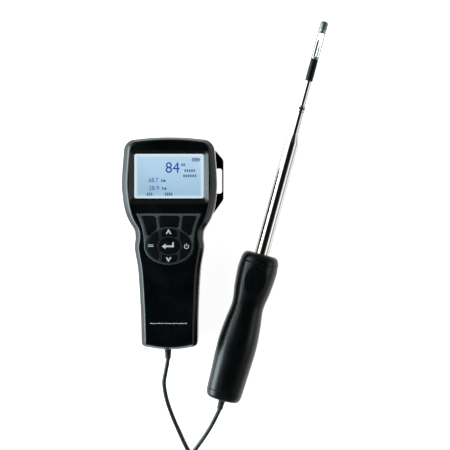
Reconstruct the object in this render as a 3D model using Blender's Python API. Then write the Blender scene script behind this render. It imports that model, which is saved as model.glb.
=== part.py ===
"""Handheld air-velocity meter with its telescoping probe, both lying on a table.

The origin is the middle of the meter's flat back. The meter's length runs along Y, its display
faces +Z and its cords leave at -Y. The probe lies beside it, turned a little about Z.
"""

from math import atan2, cos, hypot, pi, radians, sin, sqrt

import bmesh
import bpy
from mathutils import Matrix, Vector

MM = 0.001
GAP = 0.3 * MM

# Battery bay and its cover
CELL_DIAMETER = 14.2 * MM
CELL_LENGTH = 49.2 * MM
CELL_NUB = 1.1 * MM
CONTACT_THICKNESS = 1.0 * MM
BAY_END_ROOM = 14.0 * MM
RIB_WALL = 1.6 * MM
COVER_THICKNESS = 1.9 * MM
COVER_BORDER = 2.15 * MM
COVER_WIDTH = 2 * CELL_DIAMETER + GAP + 2 * COVER_BORDER

# Display
VIEW_WIDTH = 58.0 * MM
VIEW_HEIGHT = 37.2 * MM
VIEW_FROM_TOP = 14.4 * MM
WINDOW_SIDE_BEVEL = 4.0 * MM
WINDOW_TOP_BEVEL = 2.4 * MM
WINDOW_BOTTOM_BEVEL = 4.4 * MM
LENS_BORDER = 1.4 * MM
LENS_THICKNESS = 1.6 * MM
LCD_THICKNESS = 1.6 * MM
BACKLIGHT_THICKNESS = 2.0 * MM

# Keypad
KEYPAD_HALF_WIDTH = 20.6 * MM
KEYPAD_HALF_HEIGHT = 15.8 * MM
KEYPAD_TOP_BORDER = 6.2 * MM
KEYPAD_FROM_TOP = 91.4 * MM
KEYPAD_TOP_RISE = 27.0 * MM
RIB = 1.9 * MM
RING_HALF_WIDTH = KEYPAD_HALF_WIDTH - RIB - GAP
RING_HALF_HEIGHT = KEYPAD_HALF_HEIGHT - RIB
ENTER_HALF_WIDTH = 9.2 * MM
ENTER_HALF_HEIGHT = 6.9 * MM
KEY_SPLIT_X = 7.7 * MM
SOFTKEY_SPLIT_X = 10.0 * MM
KEY_RISE = 0.8 * MM
KEY_HEIGHT = 6.6 * MM
KEY_TRAVEL = 0.8 * MM
FRAME_RISE = 0.3 * MM
FRAME_FLANGE = 1.4 * MM
FRAME_FLANGE_HEIGHT = 1.2 * MM
MAT_HEIGHT = 2.6 * MM
BOARD_THICKNESS = 1.6 * MM

# Meter case: the head is as wide as the display needs, the waist as the keypad needs,
# and the case is as deep as two layers of cells need
CASE_LENGTH = 179.6 * MM
FACE_WALL = 3.0 * MM
FACE_DROP = 6.0 * MM
ROOM_OVER_CELLS = 3.8 * MM
CASE_DEPTH = COVER_THICKNESS + 2 * CELL_DIAMETER + 3 * GAP + ROOM_OVER_CELLS + FACE_WALL + FACE_DROP
HEAD_BORDER = 11.1 * MM
HEAD_TAPER = 3.8 * MM
HEAD_WIDTH = VIEW_WIDTH + 2 * HEAD_BORDER
HEAD_TOP_WIDTH = HEAD_WIDTH - HEAD_TAPER
KEYPAD_BORDER = 7.9 * MM
WAIST_WIDTH = 2 * (KEYPAD_HALF_WIDTH + KEYPAD_BORDER)
SHOULDER_SET_IN = 1.8 * MM
SHOULDER_WIDTH = (WAIST_WIDTH + HEAD_WIDTH) / 2 - SHOULDER_SET_IN
KEYPAD_BULGE = 1.4 * MM
KEYPAD_BULGE_WIDTH = WAIST_WIDTH + KEYPAD_BULGE
GRIP_WIDTH = 48.8 * MM
GRIP_TAPER = 1.2 * MM
GRIP_END_WIDTH = GRIP_WIDTH - GRIP_TAPER
TOP_Y = CASE_LENGTH / 2
HEAD_Y = TOP_Y - 38.0 * MM
SHOULDER_Y = TOP_Y - 71.5 * MM
WAIST_Y = TOP_Y - 85.0 * MM
KEYPAD_BULGE_Y = TOP_Y - 93.0 * MM
GRIP_Y = 34.0 * MM - TOP_Y
FACE_SLOPE_Y = TOP_Y - 113.0 * MM
KEYPAD_CENTRE_Y = TOP_Y - KEYPAD_FROM_TOP
KEYPAD_TOP_Y = KEYPAD_CENTRE_Y + KEYPAD_TOP_RISE
KEYPAD_TOP_HALF = SHOULDER_WIDTH / 2 - KEYPAD_TOP_BORDER
VIEW_TOP_Y = TOP_Y - VIEW_FROM_TOP
BAY_BOTTOM_Y = BAY_END_ROOM - TOP_Y
TOP_CORNER = 10.0 * MM
BOTTOM_CORNER = 6.0 * MM
TOP_BOW = 1.8 * MM
BOTTOM_BOW = 2.0 * MM
PARTING_Z = 26.0 * MM
WALL = 2.2 * MM
HEAD_CHAMFER = 5.2 * MM
GRIP_CHAMFER = 3.8 * MM
END_CHAMFER = 2.6 * MM
CHAMFER_DEPTH = 5.5 * MM
BACK_FILLET = 6.0 * MM

# Screws, strap bracket, sockets
SCREW_HEAD = 5.2 * MM
SCREW_SHANK = 2.6 * MM
SCREW_DEPTH = 4.0 * MM
POST_DIAMETER = 8.2 * MM
HEAD_SCREW_X = HEAD_WIDTH / 2 - 12.6 * MM
HEAD_SCREW_Y = TOP_Y - 8.5 * MM
GRIP_SCREW_X = KEYPAD_HALF_WIDTH + 1.9 * MM
GRIP_SCREW_Y = KEYPAD_CENTRE_Y - 12.1 * MM
SCREW_TIP_ROOM = 3.0 * MM
BRACKET_OUT = 5.6 * MM
BRACKET_REACH = HEAD_WIDTH / 2 + BRACKET_OUT
BRACKET_BAR = 1.2 * MM
BRACKET_BOTTOM_Y = TOP_Y - 64.6 * MM
BRACKET_TOP_Y = TOP_Y - 9.7 * MM
BRACKET_SLANT = 9.5 * MM
BRACKET_FOOT_SLANT = 13.0 * MM
BRACKET_Z = 12.0 * MM
BRACKET_HEIGHT = 9.0 * MM
SLOT_LENGTH = 21.5 * MM
SLOT_TOP_Y = BRACKET_TOP_Y - 15.8 * MM
SLOT_BOTTOM_Y = SLOT_TOP_Y - SLOT_LENGTH
SOCKET_Z = 14.0 * MM
SOCKET_SET_IN = BOTTOM_BOW
JACK_X = 14.0 * MM
JACK_DIAMETER = 8.0 * MM
PORT_X = -15.0 * MM
PORT_WIDTH = 9.0 * MM
PORT_HEIGHT = 5.0 * MM

# Cord
CORD_DIAMETER = 3.6 * MM
CORD_Z = 18.0 * MM
CORD_EXIT_X = -2.0 * MM
GLAND_BORE = CORD_DIAMETER + 2 * GAP
GLAND_DIAMETER = GLAND_BORE + 3.8 * MM
GLAND_TIP = GLAND_BORE + 0.8 * MM
GLAND_LENGTH = 9.0 * MM
COIL_CENTRE = (14.0 * MM, -232.7 * MM)
COIL_RADIUS = 23.0 * MM
COIL_WIDTH = 12.0 * MM
COIL_HEIGHT = 12.0 * MM
TIE_WIDTH = 6.0 * MM
TIE_THICKNESS = 0.8 * MM
TIE_TURN = 200.0

# Probe
PROBE_BASE = (44.7 * MM, -134.1 * MM)
PROBE_Z = 16.1 * MM
PROBE_TURN = -15.2
HANDLE_LENGTH = 129.4 * MM
HANDLE_END = 7.0 * MM
HANDLE_NOSE = 8.0 * MM
HANDLE_BULGE_WIDTH = 34.0 * MM
HANDLE_WAIST_WIDTH = 27.7 * MM
HANDLE_END_WIDTH = 30.6 * MM
HANDLE_DEPTH_RATIO = 0.945
HANDLE_WALL = 2.0 * MM
DISH_LENGTH = 24.0 * MM
DISH_WIDTH = 17.0 * MM
DISH_DEPTH = 1.2 * MM
DISH_FROM_TOP = 22.5 * MM
SECTION_COUNT = 5
INNER_SECTION_DIAMETER = 7.5 * MM
SECTION_WALL = 0.35 * MM
SECTION_STEP_LENGTH = 2.0 * MM
BASE_TUBE_OUT = 100.0 * MM
TUBE_START = 14.0 * MM
LAST_SECTION_OUT = 20.7 * MM
COLLAR_LENGTH = 5.0 * MM
STEM_DIAMETER = INNER_SECTION_DIAMETER - 1.2 * MM
STEM_LENGTH = 22.2 * MM
SLEEVE_DIAMETER = STEM_DIAMETER + 0.4 * MM
SLEEVE_LENGTH = 19.0 * MM
WINDOW_LENGTH = 26.0 * MM
TIP_LENGTH = 7.4 * MM
TIP_DIAMETER = SLEEVE_DIAMETER + 0.3 * MM
RAIL_WIDTH = 1.3 * MM
SENSOR_DIAMETER = 1.5 * MM
SENSOR_LENGTH = 17.0 * MM

CASE_STATIONS = 15
ROUND = 24


def clear_scene():
    for obj in list(bpy.data.objects):
        bpy.data.objects.remove(obj, do_unlink=True)


def material(name, colour, roughness, metallic=0.0):
    made = bpy.data.materials.get(name)
    if made is None:
        made = bpy.data.materials.new(name)
        made.use_nodes = True
        made.diffuse_color = (*colour, 1.0)
        shader = made.node_tree.nodes["Principled BSDF"]
        shader.inputs["Base Color"].default_value = (*colour, 1.0)
        shader.inputs["Roughness"].default_value = roughness
        shader.inputs["Metallic"].default_value = metallic
    return made


CASE_BLACK = ("case_black", (0.012, 0.014, 0.015), 0.42)
KEY_BLACK = ("key_black", (0.010, 0.012, 0.012), 0.55)
RIB_GREY = ("rib_grey", (0.060, 0.075, 0.080), 0.45)
CHROME = ("chrome", (0.62, 0.62, 0.60), 0.18, 1.0)
STEEL = ("steel", (0.55, 0.56, 0.57), 0.28, 1.0)
BRASS = ("nickel_spring", (0.60, 0.58, 0.52), 0.30, 1.0)
RUBBER = ("rubber_black", (0.015, 0.015, 0.016), 0.65)
CORD_BLACK = ("cord_black", (0.010, 0.010, 0.011), 0.50)
BOARD_GREEN = ("board_green", (0.015, 0.110, 0.045), 0.45)
LCD_BLUE = ("lcd_blue", (0.470, 0.650, 0.820), 0.35)
LENS_CLEAR = ("lens_clear", (0.800, 0.850, 0.870), 0.08)
BACKLIGHT_WHITE = ("backlight_white", (0.850, 0.900, 0.920), 0.50)
CELL_WRAP = ("cell_wrap", (0.040, 0.060, 0.160), 0.35)
SENSOR_DARK = ("sensor_dark", (0.030, 0.030, 0.032), 0.40)


def add_object(name, mesh, look, parent=None):
    obj = bpy.data.objects.new(name, mesh)
    bpy.context.scene.collection.objects.link(obj)
    mesh.materials.append(material(*look))
    obj.parent = parent
    return obj


def finish(name, bm, look, parent=None, sharp=35.0):
    """Turn a bmesh into a named object with outward normals and smooth round faces."""
    bmesh.ops.recalc_face_normals(bm, faces=bm.faces)
    mesh = bpy.data.meshes.new(name)
    bm.to_mesh(mesh)
    bm.free()
    mesh.shade_smooth()
    mesh.set_sharp_from_angle(angle=radians(sharp))
    return add_object(name, mesh, look, parent)


def as_cutter(obj):
    obj.hide_render = True
    obj.display_type = "WIRE"
    return obj


def cut(target, cutter):
    modifier = target.modifiers.new("cut_" + cutter.name, "BOOLEAN")
    modifier.operation = "DIFFERENCE"
    modifier.solver = "EXACT"
    modifier.object = cutter


def smooth_reading(stations, at):
    """Read a smooth curve through (position, value) stations, flat beyond the first and last."""
    if at <= stations[0][0]:
        return stations[0][1]
    if at >= stations[-1][0]:
        return stations[-1][1]
    last = len(stations) - 1
    slopes = []
    for i in range(last + 1):
        before, after = stations[max(i - 1, 0)], stations[min(i + 1, last)]
        slopes.append((after[1] - before[1]) / (after[0] - before[0]))
    i = max(k for k in range(last) if stations[k][0] <= at)
    (x0, y0), (x1, y1) = stations[i], stations[i + 1]
    span = x1 - x0
    t = (at - x0) / span
    return (
        (1 + 2 * t) * (1 - t) ** 2 * y0
        + t * (1 - t) ** 2 * span * slopes[i]
        + t * t * (3 - 2 * t) * y1
        + t * t * (t - 1) * span * slopes[i + 1]
    )


# ---------------------------------------------------------------- shared shapes


def add_loops(bm, loops):
    """Skin closed loops of equal length into a wall and return their vertices."""
    rows = [[bm.verts.new(point) for point in loop] for loop in loops]
    for low, high in zip(rows, rows[1:]):
        for i in range(len(low)):
            j = (i + 1) % len(low)
            bm.faces.new((low[i], low[j], high[j], high[i]))
    return rows


def strip_cap(bm, ring):
    """Fill a ring that mirrors about its first vertex with strips from side to side."""
    count = len(ring)
    half = count // 2
    bm.faces.new((ring[0], ring[1], ring[-1]))
    for i in range(1, half - 1):
        bm.faces.new((ring[i], ring[i + 1], ring[count - i - 1], ring[count - i]))
    bm.faces.new((ring[half - 1], ring[half], ring[half + 1]))


def mirrored_prism(name, loops, look, parent=None, sharp=35.0):
    """A closed body from loops that each mirror about their first point."""
    bm = bmesh.new()
    rows = add_loops(bm, loops)
    strip_cap(bm, rows[0])
    strip_cap(bm, rows[-1])
    return finish(name, bm, look, parent, sharp)


def prism(name, loops, look, parent=None, sharp=35.0):
    """A closed body from loops, each end filled with one flat face."""
    bm = bmesh.new()
    rows = add_loops(bm, loops)
    bm.faces.new(rows[0])
    bm.faces.new(rows[-1])
    return finish(name, bm, look, parent, sharp)


def at_height(outline, z):
    return [Vector((x, y, z)) for x, y in outline]


def box(name, low, high, look, parent=None):
    outline = [(low[0], low[1]), (high[0], low[1]), (high[0], high[1]), (low[0], high[1])]
    return prism(name, [at_height(outline, low[2]), at_height(outline, high[2])], look, parent)


def rounded_rectangle(centre, width, height, radius, steps=4):
    points = []
    corners = ((1, -1, -90), (1, 1, 0), (-1, 1, 90), (-1, -1, 180))
    for side, up, start in corners:
        cx = centre[0] + side * (width / 2 - radius)
        cy = centre[1] + up * (height / 2 - radius)
        for i in range(steps + 1):
            angle = radians(start + 90 * i / steps)
            points.append((cx + radius * cos(angle), cy + radius * sin(angle)))
    return points


def ellipse(centre, half_x, half_y, count):
    turns = [2 * pi * i / count - pi / 2 for i in range(count)]
    return [(centre[0] + half_x * cos(t), centre[1] + half_y * sin(t)) for t in turns]


def turned(name, profile, look, parent=None, origin=(0, 0, 0), axis="Y", segments=ROUND, sharp=35.0):
    """Spin (radius, distance) points about an axis; a profile that meets the axis is a solid."""
    bm = bmesh.new()
    solid = profile[0][0] == 0
    rows = []
    for radius, along in profile:
        if radius == 0:
            rows.append([bm.verts.new(axis_point(axis, origin, 0, 0, along))])
            continue
        angles = [2 * pi * i / segments for i in range(segments)]
        row = [axis_point(axis, origin, radius * cos(a), radius * sin(a), along) for a in angles]
        rows.append([bm.verts.new(point) for point in row])
    pairs = list(zip(rows, rows[1:]))
    if not solid:
        pairs.append((rows[-1], rows[0]))
    for low, high in pairs:
        for i in range(segments):
            j = (i + 1) % segments
            if len(low) == 1:
                bm.faces.new((low[0], high[i], high[j]))
            elif len(high) == 1:
                bm.faces.new((low[i], low[j], high[0]))
            else:
                bm.faces.new((low[i], low[j], high[j], high[i]))
    return finish(name, bm, look, parent, sharp)


def axis_point(axis, origin, across, up, along):
    offsets = {"X": (along, across, up), "Y": (across, along, up), "Z": (across, up, along)}
    return Vector(origin) + Vector(offsets[axis])


def rod(name, diameter, start, end, look, parent=None, origin=(0, 0, 0), axis="Y", segments=ROUND):
    profile = [(0, start), (diameter / 2, start), (diameter / 2, end), (0, end)]
    return turned(name, profile, look, parent, origin, axis, segments)


def rods(name, diameter, start, end, places, segments=16):
    """Upright rods at several places, as one cutter."""
    bm = bmesh.new()
    for x, y in places:
        angles = [2 * pi * i / segments for i in range(segments)]
        ring = [(x + diameter / 2 * cos(a), y + diameter / 2 * sin(a)) for a in angles]
        rows = add_loops(bm, [at_height(ring, start), at_height(ring, end)])
        bm.faces.new(rows[0])
        bm.faces.new(rows[-1])
    return as_cutter(finish(name, bm, CASE_BLACK))


# ---------------------------------------------------------------- meter case


def case_half_width(y):
    """Half of the case's width: the wide head, the waist, the keypad's bulge and the grip."""
    stations = [
        (BOTTOM_CORNER - TOP_Y, GRIP_END_WIDTH / 2),
        (GRIP_Y, GRIP_WIDTH / 2),
        (KEYPAD_BULGE_Y - 18.5 * MM, (GRIP_WIDTH * 0.6 + KEYPAD_BULGE_WIDTH * 0.4) / 2),
        (KEYPAD_BULGE_Y, KEYPAD_BULGE_WIDTH / 2),
        (WAIST_Y, WAIST_WIDTH / 2),
        ((WAIST_Y + SHOULDER_Y) / 2, (WAIST_WIDTH * 0.82 + SHOULDER_WIDTH * 0.18) / 2),
        (SHOULDER_Y, SHOULDER_WIDTH / 2),
        (SHOULDER_Y + 6.6 * MM, (SHOULDER_WIDTH * 0.55 + HEAD_WIDTH * 0.45) / 2),
        ((SHOULDER_Y + HEAD_Y) / 2, (SHOULDER_WIDTH * 0.2 + HEAD_WIDTH * 0.8) / 2),
        (HEAD_Y, HEAD_WIDTH / 2),
        (TOP_Y - TOP_CORNER, HEAD_TOP_WIDTH / 2),
    ]
    return smooth_reading(stations, y)


def chamfer_width(y):
    """The chamfer is wide round the head and narrower along the grip."""
    stations = [(KEYPAD_BULGE_Y, GRIP_CHAMFER), (SHOULDER_Y + TOP_CORNER, HEAD_CHAMFER)]
    return smooth_reading(stations, y)


def face_z(y):
    """The face is level to below the keypad, then falls to the grip's end."""
    if y >= FACE_SLOPE_Y:
        return CASE_DEPTH
    fall = (FACE_SLOPE_Y - y) / (FACE_SLOPE_Y + TOP_Y)
    return CASE_DEPTH - FACE_DROP * fall * min(1.0, 0.5 + fall)


def case_outline(side_inset, end_inset):
    """The case seen from above, from the bottom's middle round by +X; side_inset is a function of y."""
    bottom = end_inset - TOP_Y
    top = TOP_Y - end_inset
    low_corner = max(BOTTOM_CORNER - end_inset, BOTTOM_BOW + 0.6 * MM)
    high_corner = max(TOP_CORNER - end_inset, 1.5 * MM)
    low_side = bottom + low_corner
    high_side = top - high_corner - TOP_BOW
    low_x = case_half_width(low_side) - side_inset(low_side)
    high_x = case_half_width(high_side) - side_inset(high_side)
    right = []
    for share in (0.0, 0.5):
        x = share * (low_x - low_corner)
        right.append((x, bottom + BOTTOM_BOW * share**2))
    for i in range(4):
        angle = pi / 2 * i / 4
        x = low_x - low_corner + low_corner * sin(angle)
        right.append((x, low_side - (low_corner - BOTTOM_BOW) * cos(angle)))
    for i in range(CASE_STATIONS):
        y = low_side + (high_side - low_side) * i / (CASE_STATIONS - 1)
        right.append((case_half_width(y) - side_inset(y), y))
    for i in range(1, 5):
        angle = pi / 2 * i / 4
        x = high_x - high_corner + high_corner * cos(angle)
        right.append((x, high_side + high_corner * sin(angle)))
    for share in (0.5, 0.0):
        x = share * (high_x - high_corner)
        right.append((x, top - TOP_BOW * share**2))
    left = [(-x, y) for x, y in reversed(right[1:-1])]
    return right + left


def case_loop(side_inset, end_inset, height):
    """The case's outline with an inset, at a height that is a number or a function of y."""
    inset = side_inset if callable(side_inset) else (lambda y: side_inset)
    level = height if callable(height) else (lambda y: height)
    return [Vector((x, y, level(y))) for x, y in case_outline(inset, end_inset)]


def screw_places():
    head = [(side * HEAD_SCREW_X, HEAD_SCREW_Y) for side in (-1, 1)]
    grip = [(side * GRIP_SCREW_X, GRIP_SCREW_Y) for side in (-1, 1)]
    return head + grip


def view_centre_y():
    return VIEW_TOP_Y - VIEW_HEIGHT / 2


def window_outline():
    """The window's edge in the face; its bevels run down from here to the visible part."""
    width = VIEW_WIDTH + 2 * WINDOW_SIDE_BEVEL
    height = VIEW_HEIGHT + WINDOW_TOP_BEVEL + WINDOW_BOTTOM_BEVEL
    centre = (0, view_centre_y() + (WINDOW_TOP_BEVEL - WINDOW_BOTTOM_BEVEL) / 2)
    return rounded_rectangle(centre, width, height, 3.0 * MM)


def keypad_outline(outset):
    """A straight top, sides that sweep in, and the lower half of an ellipse, about the middle."""
    right = []
    for i in range(8):
        angle = pi / 2 * i / 8
        x = KEYPAD_HALF_WIDTH * sin(angle)
        right.append((x, KEYPAD_CENTRE_Y - KEYPAD_HALF_HEIGHT * cos(angle)))
    for i in range(6):
        share = i / 5
        y = KEYPAD_CENTRE_Y + (KEYPAD_TOP_Y - KEYPAD_CENTRE_Y) * share
        right.append((KEYPAD_HALF_WIDTH + (KEYPAD_TOP_HALF - KEYPAD_HALF_WIDTH) * share**2.2, y))
    right.append((0.0, KEYPAD_TOP_Y))
    left = [(-x, y) for x, y in reversed(right[1:-1])]
    return shrunk(right + left, -outset)


def make_front_shell():
    under_face = lambda y: face_z(y) - FACE_WALL
    chamfer_foot = lambda y: face_z(y) - CHAMFER_DEPTH
    inner_chamfer = lambda y: chamfer_width(y) + 0.8 * MM
    shell = mirrored_prism(
        "front_shell",
        [
            case_loop(0.0, 0.0, PARTING_Z + GAP / 2),
            case_loop(0.0, 0.0, chamfer_foot),
            case_loop(chamfer_width, END_CHAMFER, face_z),
        ],
        CASE_BLACK,
    )
    room = as_cutter(
        mirrored_prism(
            "front_room",
            [
                case_loop(WALL, WALL, PARTING_Z - WALL),
                case_loop(WALL, WALL, lambda y: chamfer_foot(y) - 1.0 * MM),
                case_loop(inner_chamfer, END_CHAMFER + WALL, under_face),
            ],
            CASE_BLACK,
        )
    )
    top = CASE_DEPTH + WALL
    places = screw_places()
    cut(room, rods("front_posts", POST_DIAMETER, PARTING_Z - 2 * WALL, top, places))
    cut(shell, room)
    cut(shell, rods("front_screw_bores", SCREW_SHANK + 2 * GAP, 0, screw_tip_z() + SCREW_TIP_ROOM, places))
    opening = rounded_rectangle((0, view_centre_y()), VIEW_WIDTH, VIEW_HEIGHT, 1.5 * MM)
    outer = window_outline()
    window = [
        at_height(opening, CASE_DEPTH - FACE_WALL - 1.0 * MM),
        at_height(opening, CASE_DEPTH - FACE_WALL + 0.4 * MM),
        at_height(outer, CASE_DEPTH + 0.1 * MM),
    ]
    cut(shell, as_cutter(prism("window_cutter", window, CASE_BLACK)))
    hole = keypad_outline(GAP)
    low, high = CASE_DEPTH - FACE_WALL - 2.0 * MM, CASE_DEPTH + 1.0 * MM
    cut(shell, as_cutter(prism("keypad_cutter", [at_height(hole, low), at_height(hole, high)], CASE_BLACK)))
    return shell


def board_top():
    """The circuit board's upper face, under the keypad mat and the keys."""
    return key_bottom() - KEY_TRAVEL - GAP - MAT_HEIGHT - GAP


def key_bottom():
    return CASE_DEPTH + KEY_RISE - KEY_HEIGHT


def bay_top_y():
    """The battery bay is as long as the cells, their contacts and their gaps."""
    return BAY_BOTTOM_Y + CELL_LENGTH + CELL_NUB + 2 * CONTACT_THICKNESS + 4 * GAP


def screw_tip_z():
    return board_top() - 4.2 * MM


def make_rear_shell():
    shell = mirrored_prism(
        "rear_shell",
        [
            case_loop(BACK_FILLET, BACK_FILLET, 0.0),
            case_loop(BACK_FILLET * 0.35, BACK_FILLET * 0.35, BACK_FILLET * 0.35),
            case_loop(0.0, 0.0, BACK_FILLET * 1.6),
            case_loop(0.0, 0.0, PARTING_Z - GAP / 2),
        ],
        CASE_BLACK,
    )
    room = as_cutter(
        mirrored_prism(
            "rear_room",
            [
                case_loop(BACK_FILLET + 0.6 * MM, BACK_FILLET + 0.6 * MM, WALL),
                case_loop(WALL, WALL, BACK_FILLET * 1.6 + 0.6 * MM),
                case_loop(WALL, WALL, PARTING_Z + WALL),
            ],
            CASE_BLACK,
        )
    )
    cut(room, rods("rear_posts", POST_DIAMETER, -WALL, PARTING_Z + 2 * WALL, screw_places()))
    wide = CASE_LENGTH
    for name, edge in (("bay_wall_top", bay_top_y()), ("bay_wall_bottom", BAY_BOTTOM_Y - RIB_WALL)):
        wall = box(name, (-wide, edge, -WALL), (wide, edge + RIB_WALL, PARTING_Z + 2 * WALL), CASE_BLACK)
        cut(room, as_cutter(wall))
    cut(shell, room)
    cut(shell, rods("rear_screw_bores", SCREW_SHANK + 2 * GAP, -WALL, PARTING_Z + WALL, screw_places()))
    cut(shell, rods("screw_counterbores", SCREW_HEAD + 2 * GAP, -WALL, SCREW_DEPTH, screw_places()))
    cut(shell, as_cutter(prism("cover_cutter", cover_loops(GAP, -WALL, WALL + 1.0 * MM), CASE_BLACK)))
    end = -TOP_Y
    round_holes = (
        ("gland_bore", GLAND_DIAMETER, (CORD_EXIT_X, 0, CORD_Z)),
        ("jack_bore", JACK_DIAMETER, (JACK_X, 0, SOCKET_Z)),
    )
    for name, diameter, origin in round_holes:
        bore = rod(name, diameter + 2 * GAP, end - WALL, end + 3 * WALL, CASE_BLACK, None, origin)
        cut(shell, as_cutter(bore))
    port = port_loops(GAP, end - WALL, end + 3 * WALL)
    cut(shell, as_cutter(prism("port_cutter", port, CASE_BLACK)))
    return shell


def cover_loops(outset, low, high):
    centre = (0, (bay_top_y() + BAY_BOTTOM_Y) / 2)
    length = bay_top_y() - BAY_BOTTOM_Y
    outline = rounded_rectangle(centre, COVER_WIDTH + 2 * outset, length + 2 * outset, 3.0 * MM)
    return [at_height(outline, low), at_height(outline, high)]


def port_loops(outset, near, far):
    size = (PORT_WIDTH + 2 * outset, PORT_HEIGHT + 2 * outset)
    outline = rounded_rectangle((PORT_X, SOCKET_Z), *size, 1.2 * MM, 3)
    return [[Vector((x, y, z)) for x, z in outline] for y in (near, far)]


def make_strap_bracket():
    """A loop on the head's right side; the case's side closes its slot."""
    points = []
    for i in range(9):
        y = BRACKET_BOTTOM_Y + (BRACKET_TOP_Y - BRACKET_BOTTOM_Y) * i / 8
        points.append((case_half_width(y) + GAP, y))
    points.append((BRACKET_REACH - 1.0 * MM, BRACKET_TOP_Y - BRACKET_SLANT + 2.0 * MM))
    points.append((BRACKET_REACH, BRACKET_TOP_Y - BRACKET_SLANT))
    points.append((BRACKET_REACH, BRACKET_BOTTOM_Y + BRACKET_FOOT_SLANT))
    points.append((BRACKET_REACH - 1.0 * MM, BRACKET_BOTTOM_Y + BRACKET_FOOT_SLANT - 2.0 * MM))
    loops = [at_height(points, BRACKET_Z), at_height(points, BRACKET_Z + BRACKET_HEIGHT)]
    bracket = prism("strap_bracket", loops, CASE_BLACK)
    slot_outer = BRACKET_REACH - BRACKET_BAR
    slot_inner = HEAD_WIDTH / 2 - WALL
    centre = ((slot_outer + slot_inner) / 2, (SLOT_BOTTOM_Y + SLOT_TOP_Y) / 2)
    size = (slot_outer - slot_inner, SLOT_TOP_Y - SLOT_BOTTOM_Y)
    slot = rounded_rectangle(centre, *size, 2.0 * MM)
    low, high = BRACKET_Z - WALL, BRACKET_Z + BRACKET_HEIGHT + WALL
    loops = [at_height(slot, low), at_height(slot, high)]
    cut(bracket, as_cutter(prism("strap_slot_cutter", loops, CASE_BLACK)))
    return bracket


def make_display():
    lens_top = CASE_DEPTH - FACE_WALL - GAP
    size = (VIEW_WIDTH + 2 * LENS_BORDER, VIEW_HEIGHT + 2 * LENS_BORDER)
    top = lens_top
    for name, thickness, look in (
        ("display_lens", LENS_THICKNESS, LENS_CLEAR),
        ("lcd_glass", LCD_THICKNESS, LCD_BLUE),
        ("lcd_backlight", BACKLIGHT_THICKNESS, BACKLIGHT_WHITE),
    ):
        low = (-size[0] / 2, view_centre_y() - size[1] / 2, top - thickness)
        high = (size[0] / 2, view_centre_y() + size[1] / 2, top)
        box(name, low, high, look)
        top -= thickness + GAP


# ---------------------------------------------------------------- keypad


def softkey_outline(side):
    """A key of the top row: -1 left, 0 middle, 1 right. Its foot follows the ring of keys."""
    top = KEYPAD_TOP_Y - RIB
    reach = RING_HALF_WIDTH + RIB * 0.5
    rise = RING_HALF_HEIGHT + RIB
    split = SOFTKEY_SPLIT_X

    def foot(x):
        share = min(abs(x) / reach, 0.999)
        return KEYPAD_CENTRE_Y + rise * sqrt(1 - share * share)

    if side == 0:
        low, high = split - RIB * 1.1, split - RIB * 0.5
        xs = [-low + 2 * low * i / 6 for i in range(7)]
        return [(x, foot(x)) for x in xs] + [(high, top), (-high, top)]
    near_low, near_high = split - RIB * 0.1, split + RIB * 0.6
    far_high = KEYPAD_TOP_HALF - RIB * 1.9
    far_low_y = KEYPAD_CENTRE_Y + RING_HALF_HEIGHT * 0.62
    far_low = KEYPAD_HALF_WIDTH - RIB * 1.0
    xs = [near_low + (far_low - near_low) * i / 4 for i in range(5)]
    points = [(x, max(foot(x), far_low_y)) for x in xs]
    points += [(far_low + (far_high - far_low) * 0.35, (far_low_y + top) / 2 + 1.0 * MM)]
    points += [(far_high, top), (near_high, top)]
    return [(x * side, y) for x, y in points]


def ring_key_outline(which):
    """A key between the enter key and the ring's rim, cut off from its neighbours at the splits."""
    gap = RIB / 2
    inner = (ENTER_HALF_WIDTH + RIB * 0.7, ENTER_HALF_HEIGHT + RIB * 0.7)
    outer = (RING_HALF_WIDTH, RING_HALF_HEIGHT)
    steps = 8
    if which in ("up", "down"):
        edge = KEY_SPLIT_X - gap
        xs = [-edge + 2 * edge * i / steps for i in range(steps + 1)]
        far = [(x, outer[1] * sqrt(1 - (x / outer[0]) ** 2)) for x in xs]
        near = [(x, inner[1] * sqrt(1 - (x / inner[0]) ** 2)) for x in reversed(xs)]
        flip = 1 if which == "up" else -1
        return [(x, KEYPAD_CENTRE_Y + flip * y) for x, y in far + near]
    edge = KEY_SPLIT_X + gap
    high = outer[1] * sqrt(1 - (edge / outer[0]) ** 2)
    low = inner[1] * sqrt(1 - (edge / inner[0]) ** 2)
    start, end = atan2(high / outer[1], edge / outer[0]), atan2(low / inner[1], edge / inner[0])
    far = [start - 2 * start * i / steps for i in range(steps + 1)]
    near = [-end + 2 * end * i / steps for i in range(steps + 1)]
    points = [(outer[0] * cos(a), outer[1] * sin(a)) for a in far]
    points += [(inner[0] * cos(a), inner[1] * sin(a)) for a in near]
    side = 1 if which == "right" else -1
    return [(side * x, KEYPAD_CENTRE_Y + y) for x, y in points]


def key_outlines():
    return {
        "softkey_left": softkey_outline(-1),
        "softkey_middle": softkey_outline(0),
        "softkey_right": softkey_outline(1),
        "key_up": ring_key_outline("up"),
        "key_down": ring_key_outline("down"),
        "key_escape": ring_key_outline("left"),
        "key_power": ring_key_outline("right"),
        "key_enter": ellipse((0, KEYPAD_CENTRE_Y), ENTER_HALF_WIDTH, ENTER_HALF_HEIGHT, 20),
    }


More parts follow.
